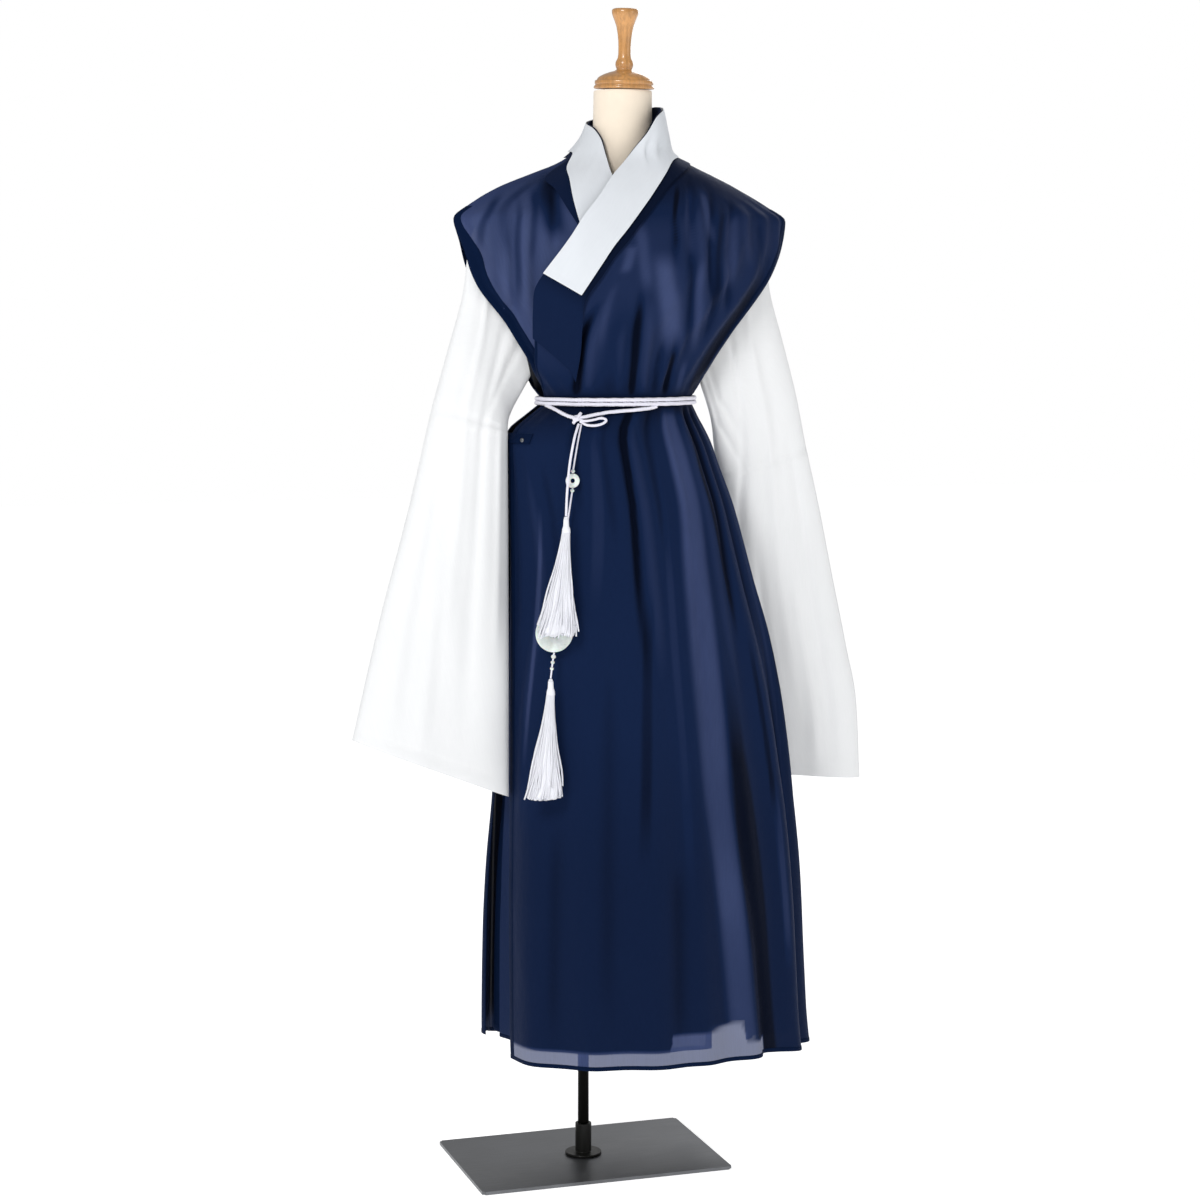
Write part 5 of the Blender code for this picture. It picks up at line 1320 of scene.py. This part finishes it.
class HANFU_OT_sleeves(bpy.types.Operator):
    """Wide white sleeves, each with the seam of its lower half and a turned cuff"""

    bl_idname = "hanfu.sleeves"
    bl_label = "Sleeves"

    def execute(self, context):
        for side, rows, creases, seam_row, flat, area in (
            ("right", RIGHT_SLEEVE_ROWS, RIGHT_SLEEVE_CREASES, 4, (0.68, 0.90), 0.54),
            ("left", LEFT_SLEEVE_ROWS, LEFT_SLEEVE_CREASES, 5, (0.70, 0.98), 0.60),
        ):
            outer, inner = (sleeve_grid(rows, creases, seam_row, inset) for inset in (0.0, SLEEVE_CLOTH))
            sewing = Sewing().add(outer, closed=True).add(inner, closed=True, flip=True)
            sewing.add(np.stack([inner[0], outer[0]]), closed=True)
            sewing.add(np.stack([outer[-1], inner[-1]]), closed=True)
            thing = sewing.build(f"sleeve_{side}", finish_of("white_chiffon"))
            stand_on_frame(thing, "white_shirt", f"sleeve_upper_{side}", f"sleeve_lower_{side}")
        return {"FINISHED"}


# ---------------------------------------------------------------- the belt
BELT_CORD_HEIGHTS = {"belt_upper": 1.1732, "belt_lower": 1.1668}
KNOT_PLACE = (-0.049, 1.1475, 0.0075)
# Strands by the knot: x, height, how far out.
LEFT_STRAND = [
    (0.064, 1.1632, 0.0046), (0.05, 1.1605, 0.005), (0.024, 1.1583, 0.0052), (-0.004, 1.156, 0.0056),
    (-0.022, 1.153, 0.0062), (-0.0395, 1.149, 0.0072), (-0.0455, 1.148, 0.0076),
]
RIGHT_STRAND = [
    (-0.079, 1.1645, 0.0042), (-0.0725, 1.1595, 0.005), (-0.0665, 1.1545, 0.0055), (-0.0595, 1.15, 0.0065),
    (-0.053, 1.1482, 0.0072),
]
BOW_LOOP = [
    (-0.0465, 1.1452, 0.0078), (-0.04, 1.1435, 0.0078), (-0.029, 1.145, 0.0085), (-0.018, 1.1475, 0.0085),
    (-0.012, 1.1445, 0.0085), (-0.018, 1.1395, 0.008), (-0.029, 1.137, 0.008), (-0.039, 1.138, 0.0076),
    (-0.0465, 1.143, 0.0076),
]
# Wraps of the knot: how far each slants, then their half width, half depth and lift.
KNOT_SLANTS = (0.0042 * 0.35, 0.0046 * -0.5, 0.0036 * 1.25)
KNOT_SIZE = (0.0052, 0.0030, 0.0022)
# How far a strand runs to wind once round its braid.
BELT_PITCH, STRAND_PITCH, KNOT_PITCH = 0.016, 0.013, 0.010


class HANFU_OT_belt(bpy.types.Operator):
    """Braided cord passed twice round the waist, with its knot and bow loop"""

    bl_idname = "hanfu.belt"
    bl_label = "Belt"

    def execute(self, context):
        radius = context.scene.hanfu_cord.belt_diameter / 2
        made = {}
        for name, height in BELT_CORD_HEIGHTS.items():
            loop = cloth(np.arange(180, 540, 1.5), height, INSET_BELT, 0.0, 0.0)
            made[name] = braid(Sewing(), loop, radius, BELT_PITCH, True)
        for name, spots, share in (
            ("belt_strand_left", LEFT_STRAND, 0.88),
            ("belt_strand_right", RIGHT_STRAND, 0.88),
            ("belt_loop", BOW_LOOP, 0.66),
        ):
            route = smooth_route([on_front(*spot) for spot in spots], 0.002)
            made[name] = braid(Sewing(), route, radius * share, STRAND_PITCH)
        made["belt_knot"] = Sewing()
        around = full_turn(40)
        wide, deep, lift = KNOT_SIZE
        for turn, slant in enumerate(KNOT_SLANTS):
            high = slant * np.cos(around) + lift * np.sin(around + turn)
            wrap = np.stack([wide * np.cos(around), deep * np.sin(around), high], -1)
            wrap = wrap + np.array(on_front(*KNOT_PLACE))
            braid(made["belt_knot"], wrap, radius * 0.75, KNOT_PITCH, True)
        for name, sewing in made.items():
            stand_on_frame(sewing.build(f"{name}_braid", finish_of("braided_cord")), "cord_white", name)
        return {"FINISHED"}


# ---------------------------------------------------------------- the hanging cords, jades and tassels
PENDANT_DEPTH = -0.1545
TASSEL_DEPTH = -0.171
LOWER_TASSEL_DEPTH = PENDANT_DEPTH - 0.006
# Points down each cord. The first, at the knot, says how far in front of it instead of a depth.
CORDS = {
    "tassel_cord": [
        (-0.0525, -0.004, 1.139), (-0.0625, -0.156, 1.118), (-0.0715, -0.162, 1.08), (-0.0775, -0.169, 1.04),
        (-0.0795, TASSEL_DEPTH, 1.0084),
    ],
    "pendant_cord_upper": [(-0.0475, -0.001, 1.1387), (-0.0555, -0.15, 1.112), (-0.0645, PENDANT_DEPTH, 1.0689)],
    "pendant_cord_middle": [
        (-0.0645, PENDANT_DEPTH, 1.0471), (-0.072, PENDANT_DEPTH, 1.0), (-0.085, PENDANT_DEPTH, 0.92),
        (-0.0925, PENDANT_DEPTH, 0.8669),
    ],
    "pendant_cord_lower": [
        (-0.093, PENDANT_DEPTH, 0.8091), (-0.0965, PENDANT_DEPTH - 0.002, 0.79), (-0.1, LOWER_TASSEL_DEPTH, 0.7724),
    ],
}
# Beads: how far down the cord, and their radius.
BEADS = {
    "pendant_cord_upper": [(0.93, 0.0030)],
    "pendant_cord_middle": [(0.035, 0.0030), (0.955, 0.0036), (0.915, 0.0028)],
    "pendant_cord_lower": [(0.18, 0.0036), (0.40, 0.0031), (0.60, 0.0028)],
}
# Centre, outer radius and radius of the hole.
JADES = {
    "jade_small": ((-0.0645, PENDANT_DEPTH, 1.058), 0.0105, 0.0032),
    "jade_large": ((-0.0925, PENDANT_DEPTH, 0.838), 0.0285, 0.0070),
}
JADE_THICKNESS = 0.0028
# Top, x of the tip, height of the tips, how far the strands spread sideways and in depth, and their turn.
TASSELS = {
    "tassel_upper": ((-0.0795, TASSEL_DEPTH, 1.008), -0.0925, 0.829, (0.032, 0.011), 0.3),
    "tassel_lower": ((-0.1, LOWER_TASSEL_DEPTH, 0.772), -0.11, 0.59, (0.030, 0.012), 2.1),
}
TASSEL_HEAD = (0.0062, 0.024)
STRAND_THICKNESS = 0.0011
STRAND_POINTS = 12
# The strands start this far inside the head; the mass behind them ends short of their tips and is slimmer.
STRANDS_INSIDE_HEAD = 0.002
CORE_END, CORE_FULLNESS = 0.955, 0.88
# A strand's length as a share of the drop and how much that varies, and how far it waves, slowly and quickly.
STRAND_LENGTH, STRAND_UNEVEN = 0.93, 0.07
SLOW_WAVE, QUICK_WAVE, DEPTH_WAVE = 0.0016, 0.0009, 0.0012
CORD_SIDES = 12


def plain_cord(name, points, diameter):
    """A twisted cord whose rings are all round one line, with that line."""
    route = smooth_route(points, 0.0012)
    rings = tube(route, 1.0, CORD_SIDES) - route[:, None]
    along = run_lengths(route)
    ply = np.abs(np.cos(1.5 * (full_turn(CORD_SIDES) - along[:, None] / (diameter * 2.4) * 2 * math.pi)))
    rings = route[:, None] + rings * (diameter / 2 * (0.84 + 0.16 * ply))[..., None]
    thing = Sewing().add(rings, closed=True).build(f"{name}_twist", finish_of("braided_cord"))
    stand_on_frame(thing, "cord_white", name)
    return thing, route, float(along[-1])


def ball(sewing, centre, radius):
    polar = np.linspace(0.02, math.pi - 0.02, 13)
    profile = [(radius * math.sin(a), radius * 0.9 * math.cos(a)) for a in polar]
    return sewing.add(lathe(profile, centre, 0.0, 20), closed=True)


def jade_disc(name):
    """A round disc with a hole and softly rounded rims, facing the front."""
    centre, outer, hole = JADES[name]
    half = JADE_THICKNESS / 2
    ring = []
    for middle, rounding, face in ((outer - half * 0.9, half * 0.9, 0), (hole + half * 0.6, half * 0.6, math.pi)):
        for a in np.linspace(face - math.pi / 2, face + math.pi / 2, 9):
            ring.append((middle + rounding * math.cos(a), half * math.sin(a)))
        ring.append(((hole + outer) / 2, half * 1.04 * math.cos(face)))
    radius, depth = np.array(ring + ring[:1]).T[..., None]
    turn = full_turn(64)
    spots = np.stack([radius * np.cos(turn), depth + 0 * turn, radius * np.sin(turn)], -1) + np.array(centre)
    thing = Sewing().add(spots, closed=True).build(f"{name}_disc", finish_of("pale_jade"))
    return stand_on_frame(thing, "jade", name)


def tassel_head(name, top):
    radius, length = TASSEL_HEAD
    profile = [(0.0004, 0.0), (0.0022, -0.0004), (0.0030, -0.0020), (0.0034, -0.0040)]
    profile += [(0.0036 + 0.0003 * (i % 2) + 0.00004 * i, -0.0040 - i * 0.0007) for i in range(15)]
    profile += [(0.0050, -0.0155), (0.0059, -0.0190), (radius, -length)]
    head = Sewing().add(lathe(profile, top, 0.0, 28), closed=True).build(f"{name}_head", finish_of("silk_strands"))
    return stand_on_frame(head, "tassel_silk", name)


def make_tassel(name, strands):
    """A bound head with loose strands that fan out below it."""
    top, tip_x, tip_height, spread, phase = TASSELS[name]
    head = tassel_head(name, top)
    radius, length = TASSEL_HEAD
    loose = Sewing()
    sway = tip_x - top[0]
    drop = top[2] - length - tip_height
    start = top[2] - length + STRANDS_INSIDE_HEAD
    golden = math.pi * (3 - math.sqrt(5))
    way = np.linspace(0, 1, STRAND_POINTS)
    bow = way**1.4
    thick = STRAND_THICKNESS * (1 + bow) * (1 - 0.35 * way**8)
    for i in range(strands):
        share = math.sqrt((i + 0.5) / strands)
        turn = i * golden + phase
        wave = 2.4 * math.sin(1.7 * i + phase)
        size = drop * (STRAND_LENGTH + STRAND_UNEVEN * math.sin(2.1 * i + phase))
        across, deep = (
            (radius * 0.86 + (reach - radius) * bow) * share * aside
            for reach, aside in zip(spread, (math.cos(turn), math.sin(turn)))
        )
        across = across + sway * way + SLOW_WAVE * way * np.sin(5.0 * way + wave)
        across = across + QUICK_WAVE * way * np.sin(13 * way + 1.3 * wave)
        deep = deep + DEPTH_WAVE * way * np.cos(6.0 * way + wave)
        spots = np.stack([top[0] + across, top[1] + deep, start - size * way], -1)
        loose.add(tube(spots, thick, 3), closed=True)
    way = np.linspace(0, CORE_END, 16)[:, None]
    turn = full_turn(28)
    fullness = CORE_FULLNESS * way**1.4 * (1 + 0.05 * np.cos(9 * turn + phase) + 0.03 * np.cos(14 * turn))
    wide, deep = (radius * 0.8 + (reach - radius) * fullness for reach in spread)
    low = start - drop * way + 0.004 * way * np.cos(5 * turn + phase)
    core = np.stack([top[0] + sway * way + wide * np.cos(turn), top[1] + deep * np.sin(turn), low], -1)
    middle = core[-1:].mean(1, keepdims=True)
    core = np.concatenate([core, *(middle + share * (core[-1:] - middle) for share in (0.5, 0.03))])
    loose.add(core[::-1], closed=True)
    stand_on_frame(loose.build(f"{name}_strands", finish_of("silk_strands")), "tassel_silk", name)
    return head


class HANFU_OT_pendants(bpy.types.Operator):
    """The two hanging ends: one with a tassel, one with jade discs, beads and a second tassel"""

    bl_idname = "hanfu.pendants"
    bl_label = "Pendants"

    def execute(self, context):
        sizes = context.scene.hanfu_cord
        knot = on_front(*KNOT_PLACE)
        upper_tassel, lower_tassel = (make_tassel(name, sizes.tassel_strands) for name in TASSELS)
        small, large = (jade_disc(name) for name in JADES)
        made = {}
        for name, points in CORDS.items():
            if points[0][1] > PENDANT_DEPTH:
                x, forward, z = points[0]
                points = [(x, knot.y + forward, z), *points[1:]]
            diameter = sizes.hanging_diameter if name == "tassel_cord" else sizes.pendant_diameter
            made[name] = *plain_cord(name, points, diameter), diameter
        ends = dict(zip(CORDS, ([upper_tassel], [small], [large, small], [lower_tassel, large])))
        for name, places in BEADS.items():
            route = made[name][1]
            sewing = Sewing()
            for share, radius in places:
                ball(sewing, route[round(share * (len(route) - 1))], radius)
            thing = sewing.build(name.replace("pendant_cord", "beads"), finish_of("pale_jade"))
            ends[name].append(stand_on_frame(thing, "jade"))
        return {"FINISHED"}


# ---------------------------------------------------------------- the dress form and its stand
# Height, centre x and y, half width and half depth of the form.
FORM_ROWS = [
    (0.86, 0.036, -0.054, 0.118, 0.08), (0.9, 0.036, -0.054, 0.124, 0.084), (0.96, 0.036, -0.055, 0.126, 0.084),
    (1.03, 0.034, -0.056, 0.112, 0.075), (1.1, 0.033, -0.057, 0.097, 0.066), (1.17, 0.033, -0.058, 0.086, 0.058),
    (1.24, 0.034, -0.059, 0.092, 0.064), (1.31, 0.038, -0.062, 0.106, 0.071), (1.36, 0.042, -0.063, 0.116, 0.074),
    (1.41, 0.043, -0.06, 0.124, 0.07), (1.445, 0.042, -0.058, 0.124, 0.058), (1.47, 0.041, -0.057, 0.11, 0.049),
    (1.49, 0.041, -0.056, 0.086, 0.044), (1.507, 0.042, -0.055, 0.06, 0.042), (1.525, 0.043, -0.055, 0.048, 0.041),
    (1.56, 0.044, -0.055, 0.044, 0.04), (1.622, 0.044, -0.056, 0.043, 0.041),
]
CAP_PLACE = (0.0455, -0.057, 1.6225)
CAP_TILT = 0.05
# Radius and height of the cap, the pole's foot and the pole.
CAP_PROFILE = [
    (0.0005, 0.1182), (0.008, 0.1182), (0.015, 0.118), (0.0182, 0.117), (0.0195, 0.115), (0.0193, 0.111),
    (0.0185, 0.108), (0.0153, 0.1), (0.0125, 0.092), (0.0106, 0.082), (0.0095, 0.072), (0.0091, 0.062),
    (0.0092, 0.052), (0.0098, 0.0475), (0.0106, 0.0452), (0.012, 0.043), (0.013, 0.04), (0.0131, 0.0365),
    (0.0124, 0.0335), (0.0112, 0.0312), (0.0118, 0.0296), (0.015, 0.028), (0.022, 0.0262), (0.03, 0.0233),
    (0.0355, 0.0204), (0.0385, 0.018), (0.0397, 0.016), (0.04, 0.015), (0.0424, 0.0142), (0.043, 0.013),
    (0.043, 0.0094), (0.0424, 0.0084), (0.0415, 0.008), (0.0436, 0.0066), (0.0444, 0.0048), (0.0444, 0.003),
    (0.043, 0.0022), (0.0005, 0.0022),
]
FOOT_PROFILE = [
    (0.0086, 0.0544), (0.0118, 0.0544), (0.0124, 0.054), (0.0125, 0.053), (0.0125, 0.0524), (0.0125, 0.0105),
    (0.0125, 0.01), (0.0129, 0.0096), (0.0134, 0.0095), (0.0266, 0.0095), (0.0272, 0.0095), (0.0278, 0.0092),
    (0.028, 0.0084), (0.028, 0.0056), (0.027, 0.0054), (0.0086, 0.0054),
]
POLE_PROFILE = [(0.0005, 0.8596), (0.0084, 0.8596), (0.0085, 0.859), (0.0085, 0.055), (0.0005, 0.055)]


class HANFU_OT_dress_form(bpy.types.Operator):
    """Limbless form with a jersey cover and a turned wooden neck cap"""

    bl_idname = "hanfu.dress_form"
    bl_label = "Dress Form"

    def execute(self, context):
        rows = np.array(FORM_ROWS)
        heights = np.concatenate([[0.8602], np.linspace(0.863, 1.6200, 96), [1.6218]])[:, None]
        x, y, wide, deep = smooth_read(rows[:, 0], rows[:, 1:], heights[:, 0]).T[..., None]
        turn = full_turn(96)
        squeeze = np.ones_like(heights)
        squeeze[[0, -1]] = 0.985
        spots = x + wide * squeeze * np.cos(turn), y + deep * squeeze * np.sin(turn), heights + 0 * turn
        rings = np.stack(spots, -1)
        sewing = Sewing().add(rings, closed=True)
        for ring, flip in ((rings[0], True), (rings[-1], False)):
            middle = ring.mean(0)
            sewing.add(np.stack([ring, middle + (ring - middle) * 0.02]), closed=True, flip=flip)
        stand_on_frame(sewing.build("form_body_cover", finish_of("cream_jersey")), "form_jersey", "form_body")
        cap = Sewing().add(lathe(CAP_PROFILE, CAP_PLACE, CAP_TILT, 72), closed=True)
        stand_on_frame(cap.build("form_cap_turning", finish_of("varnished_beech")), "turned_wood", "form_cap")
        return {"FINISHED"}


class HANFU_OT_stand(bpy.types.Operator):
    """Black pole with its foot, and the steel base plate"""

    bl_idname = "hanfu.stand"
    bl_label = "Stand"

    def execute(self, context):
        for name, profile, solid, steps in (
            ("pole_foot_turning", FOOT_PROFILE, "pole_foot", 48),
            ("pole_tube", POLE_PROFILE, "pole", 40),
        ):
            sewing = Sewing().add(lathe(profile, (0, 0, 0), 0.0, steps), closed=True)
            stand_on_frame(sewing.build(name, finish_of("black_paint")), "black_steel", solid)
        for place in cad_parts["base_plate"].material_slots:
            place.material = finish_of("brushed_steel")
        return {"FINISHED"}


# ---------------------------------------------------------------- the stage
CAMERA_PLACE = (-1.2108, -3.8123, 1.306)
CAMERA_TURN = (math.radians(90 - 6.27), 0.0, math.radians(-17.99))
CAMERA_LENS = 79.8
SKY_LIGHT = 0.42
FLOOR_GLOW = 0.7
FLOOR_HALF = 14.0
# Place, height aimed at, width and power.
LAMPS = {
    "key_lamp": ((-2.2, -2.6, 3.0), 0.9, 1.0, 66),
    "fill_lamp": ((2.6, -2.2, 1.8), 0.9, 1.6, 10),
    "rim_lamp": ((1.8, 2.6, 2.6), 1.0, 1.6, 24),
}


class HANFU_OT_stage(bpy.types.Operator):
    """White studio: floor, soft lamps, sky and camera"""

    bl_idname = "hanfu.stage"
    bl_label = "Stage"

    def execute(self, context):
        scene = context.scene
        world = bpy.data.worlds.new("studio")
        world.use_nodes = True
        tree = world.node_tree
        seen = node(tree, "ShaderNodeLightPath").outputs["Is Camera Ray"]
        sky = {"Color": (1, 1, 1, 1), "Strength": ranged(tree, seen, 0.0, 1.0, SKY_LIGHT, 1.0)}
        plug(tree, tree.nodes["Background"].inputs, sky)
        scene.world = world
        mesh = bpy.data.meshes.new("studio_floor")
        corners = [(x * FLOOR_HALF, y * FLOOR_HALF, 0) for x, y in ((-1, -1), (1, -1), (1, 1), (-1, 1))]
        mesh.from_pydata(corners, [], [(0, 1, 2, 3)])
        finish, tree, inputs = start_finish("white_paper")
        plug(tree, inputs, {"Base Color": (0.9, 0.9, 0.9, 1), "Roughness": 0.9})
        plug(tree, inputs, {"Emission Color": (1, 1, 1, 1), "Emission Strength": FLOOR_GLOW})
        mesh.materials.append(finish)
        floor = in_scene("studio_floor", mesh)
        floor.location = (0, 0, -0.0005)
        for name, (place, height, wide, power) in LAMPS.items():
            light = bpy.data.lights.new(name, "AREA")
            light.shape = "RECTANGLE"
            light.size = light.size_y = wide
            light.energy = power * scene.hanfu_stand.daylight
            lamp = in_scene(name, light)
            lamp.location = place
            lamp.rotation_euler = (Vector((0, 0, height)) - Vector(place)).to_track_quat("-Z", "Y").to_euler()
        lens = bpy.data.cameras.new("studio_camera")
        lens.lens = CAMERA_LENS
        lens.sensor_width = 36
        lens.dof.use_dof = False
        camera = in_scene("studio_camera", lens)
        camera.location = CAMERA_PLACE
        camera.rotation_euler = CAMERA_TURN
        scene.camera = camera
        scene.view_settings.view_transform = "Standard"
        return {"FINISHED"}


# ---------------------------------------------------------------- the panel
OPERATORS = (
    HANFU_OT_dress_form,
    HANFU_OT_stand,
    HANFU_OT_shirt,
    HANFU_OT_sleeves,
    HANFU_OT_inner_skirt,
    HANFU_OT_over_robe,
    HANFU_OT_collar,
    HANFU_OT_belt,
    HANFU_OT_pendants,
    HANFU_OT_stage,
)


class HANFU_PT_panel(bpy.types.Panel):
    bl_label = "Hanfu Robe"
    bl_idname = "HANFU_PT_panel"
    bl_space_type = "VIEW_3D"
    bl_region_type = "UI"
    bl_category = "Hanfu Robe"

    def draw(self, context):
        for operator in OPERATORS:
            self.layout.operator(operator.bl_idname)
        for group in (context.scene.hanfu_cloth, context.scene.hanfu_cord, context.scene.hanfu_stand):
            box = self.layout.box()
            for name in group.__annotations__:
                box.prop(group, name)


CLASSES = (HanfuCloth, HanfuCord, HanfuStand, *OPERATORS, HANFU_PT_panel)


def register():
    for made in CLASSES:
        bpy.utils.register_class(made)
    bpy.types.Scene.hanfu_cloth = PointerProperty(type=HanfuCloth)
    bpy.types.Scene.hanfu_cord = PointerProperty(type=HanfuCord)
    bpy.types.Scene.hanfu_stand = PointerProperty(type=HanfuStand)


def unregister():
    del bpy.types.Scene.hanfu_stand
    del bpy.types.Scene.hanfu_cord
    del bpy.types.Scene.hanfu_cloth
    for made in reversed(CLASSES):
        bpy.utils.unregister_class(made)


def main():
    register()
    for operator in OPERATORS:
        group, name = operator.bl_idname.split(".")
        getattr(getattr(bpy.ops, group), name)()


if __name__ == "__main__":
    main()
